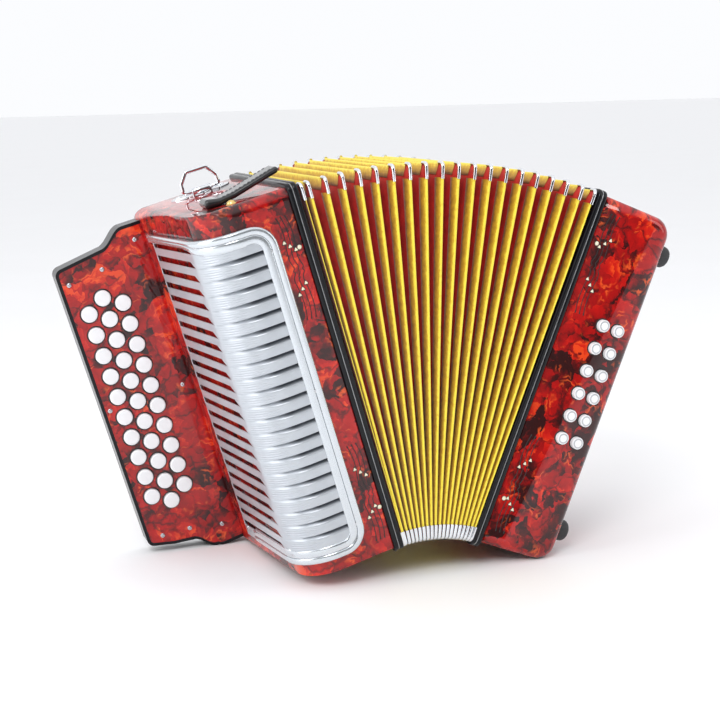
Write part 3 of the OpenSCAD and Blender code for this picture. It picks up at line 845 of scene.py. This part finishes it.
def fan_point(share, r, y):
    """Point of the fan in the shared frame, from its share of the opening, radius r and depth y."""
    share, r, y = np.broadcast_arrays(share, r, y)
    start = np.arctan(FRAME_T / r)
    angle = start + share * (OPEN - 2 * start)
    across = np.cross(np.array((0.0, 1.0, 0.0)), treble.w)
    ahead = np.cos(angle)[..., None] * treble.w + np.sin(angle)[..., None] * across
    return CENTRE + MM * (r[..., None] * ahead + y[..., None] * np.array((0.0, 1.0, 0.0)))


def leaf(fold, side, depth, r, extra=0.0):
    """Share of the opening at which a leaf of a fold lies."""
    reach = 0.0
    if 0 <= fold + side < FOLDS:
        reach = (RIDGES[fold + side] - RIDGES[fold]) / 2
    opening = OPEN - 2 * np.arctan(FRAME_T / r)
    return RIDGES[fold] + reach * depth / FOLD_DEPTH + side * extra / (r * opening)


def sides_of(fold):
    """Sides of a ridge that carry a leaf."""
    return [side for side in (-1, 1) if 0 <= fold + side < FOLDS]


def join_bellows(piece, shares, slot, *replaced):
    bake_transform(piece, "treble", "bass", start=tuple(fan_point(0.0, FAN_R + 100.0, 0.0)),
             end=tuple(fan_point(1.0, FAN_R + 100.0, 0.0)))
    layer = piece.data.attributes["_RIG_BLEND"]
    layer.data.foreach_set("value", np.clip(np.asarray(shares, np.float32).ravel(), 0, 1))
    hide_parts("bellows_folds")
    return piece


def ring_stations(depth):
    """Points round the rectangle of a fold, drawn in by a depth: (r, y)."""
    low, high, y = RIDGE_LOW + depth, RIDGE_HIGH - depth, RIDGE_Y - depth
    corners = [(low, -y), (high, -y), (high, y), (low, y)]
    counts = [26, 12, 26, 12]
    points = []
    for (p, q), n in zip(zip(corners, corners[1:] + corners[:1]), counts):
        points.append(span(p, q, n)[:-1])
    return np.concatenate(points)


def bellows_cloth():
    rows, shares = [], []
    for fold in range(FOLDS):
        depths = []
        if -1 in sides_of(fold):
            depths += [(-1, 24.0), (-1, 17.0), (-1, 9.0), (-1, 3.0), (-1, 1.2)]
        depths.append((0, 0.35))
        if 1 in sides_of(fold):
            depths += [(1, 1.2), (1, 3.0), (1, 9.0), (1, 17.0)]
        for side, depth in depths:
            ring = ring_stations(depth)
            share = leaf(fold, side, depth, ring[:, 0]) if side else np.full(len(ring), RIDGES[fold])
            rows.append(fan_point(share, ring[:, 0], ring[:, 1]))
            shares.append(share)
    rows = np.array(rows)
    piece = make("bellows_cloth", rows.reshape(-1, 3), grid_faces(len(rows), rows.shape[1], False, True),
                 None, RED_CLOTH)
    piece.data.set_sharp_from_angle(angle=math.radians(30))
    return join_bellows(piece, shares, "bellows_cloth")


def tape_strip(fold, fixed_r, start, stop, steps):
    """Rows across a tape laid over a ridge: positions and shares."""
    half = [(10.0, 0.05), (9.8, 0.4), (7.0, 0.45), (4.0, 0.5), (1.6, 0.8), (0.5, 0.95), (-0.15, 0.55)]
    profile = [(0, -0.35, 0.0)]
    if -1 in sides_of(fold):
        profile = [(-1, d, e) for d, e in half] + profile
    if 1 in sides_of(fold):
        profile += [(1, d, e) for d, e in half[::-1]]
    t = np.linspace(start, stop, steps + 1)
    rows = []
    for side, depth, extra in profile:
        if fixed_r is None:
            r, y = t, np.full(len(t), -RIDGE_Y + depth)
        else:
            r, y = np.full(len(t), fixed_r + (depth if fixed_r < FAN_R + 100 else -depth)), t
        share = leaf(fold, side, max(depth, 0.0), r, extra) if side else np.full(len(t), RIDGES[fold])
        # the last value is how far in from the fold the row lies, which sets the tape's painted highlight and
        # painted shade
        rows.append((share, r, y, max(depth, 0.0) / 10.0))
    return rows


def bellows_tape():
    pile = Pile()
    shares, inner = [], []
    # from one clip to the next, along the front, the back, the top and the bottom
    low, high, half = RIDGE_LOW + 12.0, RIDGE_HIGH - 12.0, RIDGE_Y - 8
    runs = [(None, low, high, 30, 1), (None, low, high, 30, -1),
            (RIDGE_HIGH, -half, half, 14, 1), (RIDGE_LOW, -half, half, 14, 1)]
    for fold in range(FOLDS):
        for fixed, start, stop, steps, mirror in runs:
            rows = tape_strip(fold, fixed, start, stop, steps)
            points = np.array([fan_point(s, r, y * mirror) for s, r, y, d in rows])
            pile.grid(points)
            shares.append(np.array([s for s, r, y, d in rows]).ravel())
            # the inner attribute drives the tape's painted highlight at the fold and its painted shade
            # towards the valley
            inner.append(np.repeat([d for s, r, y, d in rows], steps + 1))
    piece = pile.piece("bellows_tape", None, YELLOW_CLOTH)
    layer = piece.data.attributes.new("inner", "FLOAT", "POINT")
    layer.data.foreach_set("value", np.concatenate(inner).astype(np.float32))
    return join_bellows(piece, np.concatenate(shares), "bellows_cloth")


def bellows_clips():
    """Bent metal corner pieces, one on each corner of each ridge."""
    pile = Pile()
    shares = []
    path = rounded_path([(0, 13.0), (0, 0), (8.5, 0)], [0, 3.6, 0], 7)
    for share in RIDGES:
        for top, front in ((1, -1), (1, 1), (-1, -1), (-1, 1)):
            r_edge = RIDGE_HIGH if top > 0 else RIDGE_LOW
            line = [fan_point(share, r_edge - top * (w - 0.2), front * (RIDGE_Y - y - 0.2)) for y, w in path]
            rings = tube(np.array(line) / MM, 1.6, 12) * MM
            inner = [ring.mean(0) + (ring - ring.mean(0)) * 0.55 for ring in (rings[0], rings[-1])]
            rings = np.concatenate([[inner[0]], rings, [inner[1]]])
            pile.grid(rings, wrap_columns=True, caps=True)
            shares.append(np.full(rings.shape[0] * rings.shape[1], share))
    piece = pile.piece("bellows_clips", None, CHROME)
    piece.data.set_sharp_from_angle(angle=math.radians(50))
    return join_bellows(piece, np.concatenate(shares), "chrome")


def bellows_frame(name, side, low, high, face, body, node):
    """Grooved black frame swept round the bellows mouth; face is its bellows side's u."""
    def swept(profile):
        """The profile, (place across the frame, height from its edge), carried round the mouth."""
        rows = []
        for t, d in profile:
            half = FRAME_HALF_D + d
            path = rounded_path([(-half, low - d), (half, low - d), (half, high + d), (-half, high + d)],
                                max(0.5, 7.0 + d), 8, True)
            rows.append(np.column_stack([np.full(len(path), face * t / FRAME_T), path]))
        return rows

    pile = Pile()
    pile.grid(swept([(0.0, -14.0), (0.0, -1.6), (0.25, -0.7), (0.8, -0.25), (1.6, 0.0), (3.4, 0.0),
                     (3.9, -0.35), (4.1, -0.9), (4.8, -0.9), (5.0, -0.35), (5.5, 0.0), (7.4, 0.0),
                     (8.3, -0.35), (8.85, -1.1), (9.0, -2.2), (9.0, -14.0)]),
              wrap_rows=True, wrap_columns=True)
    piece = pile.piece(name, side, BLACK)
    finish_edges(piece, 50.0)
    ride(piece, body, "black_lacquer", node)
    pile = Pile()
    pile.grid(swept([(4.1, -0.95), (4.2, -0.5), (4.45, -0.4), (4.7, -0.5), (4.8, -0.95)]),
              wrap_columns=True)
    strip = pile.piece(name + "_line", side, SATIN)
    return ride(strip, body, "chrome")


# ---- small parts ----
# how far a cap stands in front of the button under it
PROUD = 0.06


def button_caps():
    """A domed cap over every button, on the button's own body."""
    for name in frame["nodes"]:
        if name.startswith("treble_key_"):
            # the cap is at the outer end of the lever and faces the front
            cap = treble.local(node_points(name))
            cap = cap[cap[:, 0] < cap[:, 0].min() + 15.0]
            cap = cap[cap[:, 1] < cap[:, 1].min() + 4.0]
            centre = (cap.min(0) + cap.max(0)) / 2
            face = cap[:, 1].min()
            add_cap(name, treble, (centre[0], face - PROUD, centre[2]), 7.16, 7.9, 1.1)
        if name.startswith("bass_button_"):
            low, high = bass.node_box(name)
            centre = (low + high) / 2
            add_cap(name, bass, (centre[0], low[1] - PROUD, centre[2]), 5.46, 5.2, 0.8)


def add_cap(name, side, face, radius, length, edge):
    centre = (face[0], face[1] + length, face[2])
    pile = Pile()
    dome = 2 * PROUD
    pile.grid(lathe(arc_profile(radius, length - dome, edge, dome), centre, (0, -1, 0), 40),
              wrap_columns=True)
    piece = pile.piece(name + "_cap", side, WHITE)
    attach(piece, name)


def treble_button_rings():
    """Black ring round every treble button, on the fingerboard: a painted shadow of the gap round the button.
    """
    pile = Pile()
    plate, _ = treble.node_box("fingerboard_plate")
    caps = [o for o in bpy.data.objects if o.name.startswith("treble_key") and o.name.endswith("_cap")]
    for cap in caps:
        points = treble.local(np.array([v.co for v in cap.data.vertices]))
        middle = (points.min(0) + points.max(0)) / 2
        profile = [(7.75, -0.5), (7.78, 0.12), (7.95, 0.22), (8.4, 0.2), (8.55, -0.05)]
        pile.grid(lathe(profile, (middle[0], plate[1], middle[2]), (0, -1, 0), 36), wrap_columns=True)
    return ride(pile.piece("treble_button_rings", treble, INK_AND_SHADOW), "treble", "black_rubber")


def bass_button_rings():
    # black ring round every bass button: a painted shadow of the gap round the button
    pile = Pile()
    for name in frame["nodes"]:
        if name.startswith("bass_button_"):
            low, high = bass.node_box(name)
            middle = (low + high) / 2
            profile = [(5.4, 0.0), (5.5, 0.3), (6.3, 0.35), (6.6, 0.2), (6.65, -0.1)]
            pile.grid(lathe(profile, (middle[0], -bass.half_d, middle[2]), (0, -1, 0), 36), wrap_columns=True)
    return ride(pile.piece("bass_button_rings", bass, INK_AND_SHADOW), "bass", "black_rubber")


# the strap loops' place on the treble casing, and how far their bars stand off it
LOOP_U, LOOP_Y = -37.0, 48.0
LOOP_LIFT = 3.6


def loop_wire(name, body, w, fold):
    """Wire loop: fold 0 stands it up from the lid, 1 lays it back along the underside."""
    half, rise, u, y = 16.5, 18.0, LOOP_U, LOOP_Y
    flat = rounded_path([(-half, 0), (-half, 8.5), (-9.5, rise), (9.5, rise), (half, 8.5), (half, 0)], 3.0, 6)
    flat = np.concatenate([rounded_path([(-2, 0), (-half, 0), (-half, 4)], [0, 2.4, 0], 5), flat[1:-1],
                           rounded_path([(half, 4), (half, 0), (2, 0)], [0, 2.4, 0], 5)])
    if fold:
        points = [(u + a, y + b, w) for a, b in flat]
    else:
        points = [(u + a, y, w + b) for a, b in flat]
    pile = Pile()
    pile.grid(tube(points, 1.8, 14), wrap_columns=True, caps=True)
    piece = pile.piece(name + "_wire", treble, CHROME)
    return ride(piece, body, "chrome", name)


def prism(pile, outline, side_w, top_w, edge=0.35):
    """Flat plate with softened upper edge, from an outline in (u, y)."""
    outline = np.asarray(outline, float)
    middle = outline.mean(0)
    inner = middle + (outline - middle) * (1 - edge / np.abs(outline - middle).max())
    lift = 1 if top_w > side_w else -1
    rows = [np.column_stack([o, np.full(len(o), w)]) for o, w in
            ((outline, side_w), (outline, top_w - lift * edge), (inner, top_w))]
    pile.grid(rows, wrap_columns=True)
    pile.add(rows[-1], [tuple(range(len(outline)))])


def loop_plate(face, up):
    u, y = LOOP_U, LOOP_Y
    half = [(0, -6), (8, -1), (15, -5.5), (25, 2), (28, 9), (22, 14.5)]
    outline = [(-a, b) for a, b in half[:0:-1]] + half
    outline = [(u + a, y + b) for a, b in outline[2:] + outline[:2]]
    outline = rounded_path(outline, 2.4, 4, True)
    pile = Pile()
    prism(pile, outline, face, face + up * 1.2)
    for side in (-1, 1):
        screw(pile, (u + side * 20, y + 9, face + up * 1.2), (0, 0, up), 3.0, 1.3)
    bar = tube([(u + a, y, face + up * LOOP_LIFT) for a in (-9, -8.2, 8.2, 9)], [2.6, 3.3, 3.3, 2.6], 20)
    pile.grid(bar, wrap_columns=True, caps=True)
    return pile


def treble_fittings():
    for name, face, up in (("upper", treble.height, 1), ("lower", 0.0, -1)):
        piece = loop_plate(face, up).piece("strap_plate_" + name, treble, CHROME)
        finish_edges(piece, 40.0)
        ride(piece, "treble", "chrome", "treble_fittings")
    pile = Pile()
    for u, w in ((-172, 280), (-140, 284), (-104, 300), (-174, 160),
                 (-166, 31), (-140, 28), (-110, 20), (-104, 160)):
        screw(pile, (u, 70.0, w), (0, -1, 0), 2.2, 0.8)
    ride(pile.piece("fingerboard_screws", treble, STEEL), "treble", "chrome")
    axle = tube([(-80, 80.5, 40), (-80, 80.5, 160), (-80, 80.5, 283)], 1.5, 16)
    pile = Pile()
    pile.grid(axle, wrap_columns=True, caps=True)
    ride(pile.piece("key_axle", treble, STEEL), "treble", "chrome")
    pile = Pile()
    for face, up in ((treble.height, 1), (0.0, -1)):
        profile = [(0.01, 3.0), (1.2, 3.0), (1.6, 2.6), (2.4, 2.5), (3.2, 2.1), (3.9, 1.2), (4.0, 0.4),
                   (4.6, 0.25), (4.8, 0.0)]
        pile.grid(lathe(profile, (-43, -74, face), (0, 0, up), 28), wrap_columns=True)
    ride(pile.piece("strap_studs", treble, BRASS), "treble", "chrome")


def band(path, normals, width_from, width_to, thick, swell=1.0):
    """Strap with round edges along a path, in (u, y, w): thicker by swell where it starts."""
    path, normals = np.asarray(path, float), np.asarray(normals, float)
    r = thick / 2
    cross = []
    for k in range(5):
        a = -math.pi / 2 - math.pi * k / 4
        cross.append((width_from + r + r * math.cos(a), r * math.sin(a)))
    for k in range(9):
        cross.append((width_from + r + (width_to - width_from - 2 * r) * k / 8, r))
    for k in range(5):
        a = math.pi / 2 - math.pi * k / 4
        cross.append((width_to - r + r * math.cos(a), r * math.sin(a)))
    for k in range(9):
        cross.append((width_to - r - (width_to - width_from - 2 * r) * k / 8, -r))
    run = run_along(path)
    near = np.minimum(run, run[-1] - run)
    ends = np.sqrt(np.clip(1 - (1 - np.minimum(near / r, 1)) ** 2, 0.05, 1))
    fat = 1 + (swell - 1) * (1 - smooth(run / 20.0))
    rows = []
    for p, n, e, f in zip(path, normals, ends, fat):
        middle = (width_from + width_to) / 2
        rows.append([(p[0] + n[0] * h * e * f, middle + (y - middle) * (0.9 + 0.1 * e),
                      p[1] + n[1] * h * e * f) for y, h in cross])
    return np.array(rows)


def path_normals(path):
    path = np.asarray(path, float)
    ahead = np.gradient(path, axis=0)
    ahead /= np.linalg.norm(ahead, axis=1)[:, None]
    return np.column_stack([-ahead[:, 1], ahead[:, 0]])


def resample(path, step):
    path = np.asarray(path, float)
    run = run_along(path)
    at = np.linspace(0, run[-1], max(2, int(run[-1] / step) + 1))
    return np.column_stack([np.interp(at, run, path[:, k]) for k in range(path.shape[1])])


def stitches(pile, path, normals, ys, lift, length=2.6, gap=1.4):
    """Short raised threads along a strap."""
    run = run_along(path)
    at = 4.0
    while at + length < run[-1] - 3:
        ends = []
        for x in (at, at + length / 2, at + length):
            p = np.array([np.interp(x, run, path[:, 0]), np.interp(x, run, path[:, 1])])
            n = np.array([np.interp(x, run, normals[:, 0]), np.interp(x, run, normals[:, 1])])
            ends.append(p + n * (lift + (0.22 if x == at + length / 2 else 0.0)))
        for y in ys:
            pile.grid(tube([(e[0], y, e[1]) for e in ends], 0.35, 6), wrap_columns=True, caps=True)
        at += length + gap


def bellows_straps():
    top = treble.height
    upper = [(-62, top + 4.2), (-50, top + 2.9), (-36, top + 4.6), (-8, top + 11.0), (2, top + 13.2),
             (5.3, top + 14.0)]
    lower = [(-60, -2.0), (-9, -2.0), (-3, -4.5), (1, -7.6), (4.2, -9.0)]
    for label, corners, up, thick, swell, lift in (("upper", upper, 1, 5.4, 1.5, 2.62),
                                                   ("lower", lower, -1, 3.6, 1.0, 1.75)):
        path = resample(rounded_path(corners, 6.0, 6), 0.8)
        normals = path_normals(path) * up
        pile = Pile()
        rows = band(path, normals, -67.0, -44.0, thick, swell)[:, ::up]
        pile.grid(rows, wrap_columns=True, caps=True)
        piece = pile.piece("bellows_strap_" + label, treble, LEATHER)
        finish_edges(piece, 60.0)
        ride(piece, "treble", "black_leather", "bellows_straps")
        pile = Pile()
        stitches(pile, path, normals, (-64.5, -46.5), lift)
        ride(pile.piece("bellows_strap_stitches_" + label, treble, THREAD), "treble", "black_leather")


def hand_strap():
    low, high = bass.node_box("hand_strap")
    face = bass.width
    rise, thick = 28.0, 3.5
    w0, w1 = 40.0, 285.0
    half = (w1 - w0) / 2
    radius = (half ** 2 + rise ** 2) / (2 * rise)
    a = math.asin(half / radius)
    t = np.linspace(-a, a, 70)
    arch = np.column_stack([face + rise - radius + radius * np.cos(t), w0 + half + radius * np.sin(t)])
    arch = np.concatenate([[(face + 2, w0 - 12), (face + 2, w0 - 4)], arch + (1.9, 0),
                           [(face + 2, w1 + 4), (face + 2, w1 + 12)]])
    path = resample(rounded_path(arch, 1.0, 3), 2.4)
    normals = -path_normals(path)
    pile = Pile()
    pile.grid(band(path, normals, low[1], high[1], thick), wrap_columns=True, caps=True)
    piece = pile.piece("hand_strap_leather", bass, LEATHER)
    finish_edges(piece, 60.0)
    ride(piece, "bass", "black_leather", "hand_strap")
    pile = Pile()
    stitches(pile, path, normals, (low[1] + 4, high[1] - 4), thick / 2 - 0.05)
    ride(pile.piece("hand_strap_stitches", bass, THREAD), "bass", "black_leather")


# (share of the height, place across) of the printed lines' shape
ORNAMENT_WAVE = ((0, 0.9), (0.03, 0.2), (0.09, -0.9), (0.16, -1.5), (0.24, -1.3), (0.30, -0.5),
                 (0.34, 0.0), (0.41, 0.2), (0.46, -1.0), (0.50, -2.4), (0.52, -0.5), (0.545, -2.0),
                 (0.58, 0.3), (0.62, 0.7), (0.66, 0.0), (0.74, -1.1), (0.84, -1.7), (0.92, -1.3),
                 (1.0, 0.0))


def ornament(name, side, sign, body, start, pitch, top, height, screw_at):
    """Three printed wavy lines with light marks; sign points away from the bellows."""
    face = -side.half_d
    shares = np.linspace(0, 1, 80)
    wave = np.interp(shares, [t for t, d in ORNAMENT_WAVE], [d for t, d in ORNAMENT_WAVE])
    pile, marks = Pile(), Pile()
    for k in range(3):
        path = np.column_stack([sign * (start + pitch * k + wave), top - height * shares])
        half = 0.38 + 0.3 * np.exp(-((1 - shares) / 0.02) ** 2) + 0.3 * np.exp(-(shares / 0.02) ** 2)
        normal = path_normals(path)
        left, right = path + normal * half[:, None], path - normal * half[:, None]
        pile.grid([[(a, face + 0.05, b) for a, b in left], [(a, face - 0.08, b) for a, b in left],
                   [(a, face - 0.08, b) for a, b in right], [(a, face + 0.05, b) for a, b in right]])
    spots = [(start + pitch * k, top - 0.335 * height + pitch * k) for k in range(3)]
    spots += [(start + pitch * k, top - 0.66 * height - pitch * k) for k in range(3)]
    for u, w in spots:
        for target, size, lift in ((pile, 2.9, 0.16), (marks, 2.0, 0.3)):
            corners = rounded_path([(sign * u + size * math.cos(a), w + size * math.sin(a))
                                    for a in (math.pi / 2, math.pi * 7 / 6, math.pi * 11 / 6)], 0.4, 3, True)
            rows = [[(a, face + 0.05, b) for a, b in corners], [(a, face - lift, b) for a, b in corners]]
            target.grid(rows, wrap_columns=True)
            target.add(rows[1], [tuple(range(len(corners)))])
    at = (sign * (start - 3.4), face, top - screw_at)
    pile.grid(lathe([(1.9, 0.3), (2.2, 0.12), (2.25, -0.1)], at, (0, -1, 0), 24), wrap_columns=True)
    marks.grid(lathe([(0.01, 0.9), (0.8, 0.85), (1.5, 0.55), (1.85, 0.2), (1.9, -0.1)], at, (0, -1, 0), 24),
               wrap_columns=True)
    ride(pile.piece(name + "_lines", side, INK_AND_SHADOW, False), body, "black_lacquer")
    ride(marks.piece(name + "_marks", side, CREAM), body, "white_button")


def feet():
    low, high = bass.node_box("bass_feet")
    pile = Pile()
    profile = [(0.01, 13.9), (3.0, 13.85), (6.2, 13.4), (8.2, 12.2), (9.4, 10.4), (9.8, 8.0),
               (9.9, 3.0), (10.0, 1.2), (9.9, 0.4), (9.6, 0.0)]
    for y in (-72.0, 72.0):
        for w in (28.0, 292.0):
            pile.grid(lathe(profile, (bass.width, y, w), (1, 0, 0), 36), wrap_columns=True)
    return ride(pile.piece("rubber_feet", bass, RUBBER), "bass", "black_rubber", "bass_feet")


def carried_over():
    """CAD parts whose shape stays, with their finishes."""
    finishes = {"treble_reed_blocks": WOOD, "bass_reed_blocks": WOOD, "fingerboard_frame": BLACK,
                "fingerboard_plate": RED, "air_button": CHROME}
    for name, obj in frame["nodes"].items():
        material = finishes.get(name, SATIN if name.startswith(("treble_key", "bass_button")) else None)
        if material:
            obj.data.materials.clear()
            obj.data.materials.append(material)
            obj.data.polygons.foreach_set("use_smooth", [True] * len(obj.data.polygons))
            obj.data.set_sharp_from_angle(angle=math.radians(30))


# ---- camera, light and floor ----
def camera():
    right = Vector((0.94233, -0.33384, -0.02388))
    up = Vector((0.08263, 0.16291, 0.98318))
    back = right.cross(up)
    data = bpy.data.cameras.new("camera")
    data.lens = 72.3
    data.sensor_width = 36
    data.clip_end = 50
    cam = bpy.data.objects.new("camera", data)
    cam.matrix_world = Matrix.Translation((-0.43052, -1.20805, 0.41484)) @ Matrix(
        (right, up, back)).transposed().to_4x4()
    bpy.context.scene.collection.objects.link(cam)
    bpy.context.scene.camera = cam


def area(name, place, target, size, power):
    data = bpy.data.lights.new(name, "AREA")
    data.shape = "RECTANGLE"
    data.size, data.size_y = size
    data.energy = power
    lamp = bpy.data.objects.new(name, data)
    lamp.location = place
    lamp.rotation_euler = (Vector(target) - Vector(place)).to_track_quat("-Z", "Y").to_euler()
    bpy.context.scene.collection.objects.link(lamp)


def studio():
    bpy.context.scene.view_settings.view_transform = "Standard"
    world = bpy.data.worlds.new("studio")
    world.use_nodes = True
    tree = world.node_tree
    back = tree.nodes["Background"]
    way = tree.nodes.new("ShaderNodeTexCoord")
    parts = tree.nodes.new("ShaderNodeSeparateXYZ")
    tree.links.new(way.outputs["Generated"], parts.inputs[0])

    def rise(source, start, stop, least, greatest):
        step = tree.nodes.new("ShaderNodeMapRange")
        step.interpolation_type = "SMOOTHSTEP"
        for key, value in (("From Min", start), ("From Max", stop), ("To Min", least), ("To Max", greatest)):
            step.inputs[key].default_value = value
        tree.links.new(source, step.inputs["Value"])
        return step.outputs[0]

    # brightest overhead and behind the object, and dark in front of it
    depth = rise(parts.outputs[1], -0.75, 0.35, 0.08, 1.0)
    above = rise(parts.outputs[2], 0.25, 0.85, 0.0, 1.15)
    most = tree.nodes.new("ShaderNodeMath")
    most.operation = "MAXIMUM"
    tree.links.new(depth, most.inputs[0])
    tree.links.new(above, most.inputs[1])
    tree.links.new(most.outputs[0], back.inputs["Strength"])
    back.inputs["Color"].default_value = (0.97, 0.98, 1.0, 1.0)
    bpy.context.scene.world = world
    area("key", (-1.1, -1.7, 2.0), (0, 0, 0.15), (1.0, 1.0), 26)
    area("left", (-2.2, -0.3, 0.8), (-0.1, 0, 0.15), (1.2, 1.6), 17)
    area("right", (1.9, -1.3, 1.0), (0, 0, 0.15), (0.8, 1.6), 9)
    size = 40.0
    floor = make("floor", [(-size, -size, 0), (size, -size, 0), (size, size, 0), (-size, size, 0)],
                 [(0, 1, 2, 3)], None, FLOOR, False)


CHROME_WHITE = plain("polished_rim", (0.66, 0.70, 0.74), 0.18, 14.0, 0.03, 0.03, 0.1, Metallic=0.75,
                     Coat_Weight=0.4)
FLOOR = plain("pale_floor", (0.95, 0.95, 0.96), 0.6, 300.0, 0.01, 0.0, 0.1)

camera()
studio()
treble_casing()
bass_casing()
grille_sheet()
grille_rim()
grille_screws()
capsule_bar("grille_plate_top", FLANK_LENGTH + 18.0, at_front(-44.0), 293.0, 3.4, 0.9, 0.0, CHROME_WHITE)
capsule_bar("grille_plate_low", at_flank(8), at_flank(-74), 25.5, 1.7, 1.2, -0.3, CHROME_WHITE)
bellows_cloth()
bellows_tape()
bellows_clips()
bellows_frame("treble_frame_rail", treble, -5.0, 326.0, FRAME_T, "treble", "treble_bellows_frame")
bellows_frame("bass_frame_rail", bass, -6.0, 325.0, -FRAME_T, "bass", "bass_bellows_frame")
button_caps()
treble_button_rings()
bass_button_rings()
loop_wire("strap_loop_upper", "strap_loop_upper", treble.height + LOOP_LIFT, 0)
loop_wire("strap_loop_lower", "strap_loop_lower", -LOOP_LIFT, 1)
treble_fittings()
bellows_straps()
hand_strap()
feet()
ornament("treble_ornament_top", treble, -1, "treble", 7.1, 3.95, 303.0, 88.0, 28.5)
ornament("treble_ornament_low", treble, -1, "treble", 5.4, 4.0, 101.5, 89.5, 61.5)
ornament("bass_ornament_top", bass, 1, "bass", 9.4, 4.25, 308.5, 91.5, 28.7)
ornament("bass_ornament_low", bass, 1, "bass", 9.8, 4.2, 103.5, 91.0, 61.0)
carried_over()
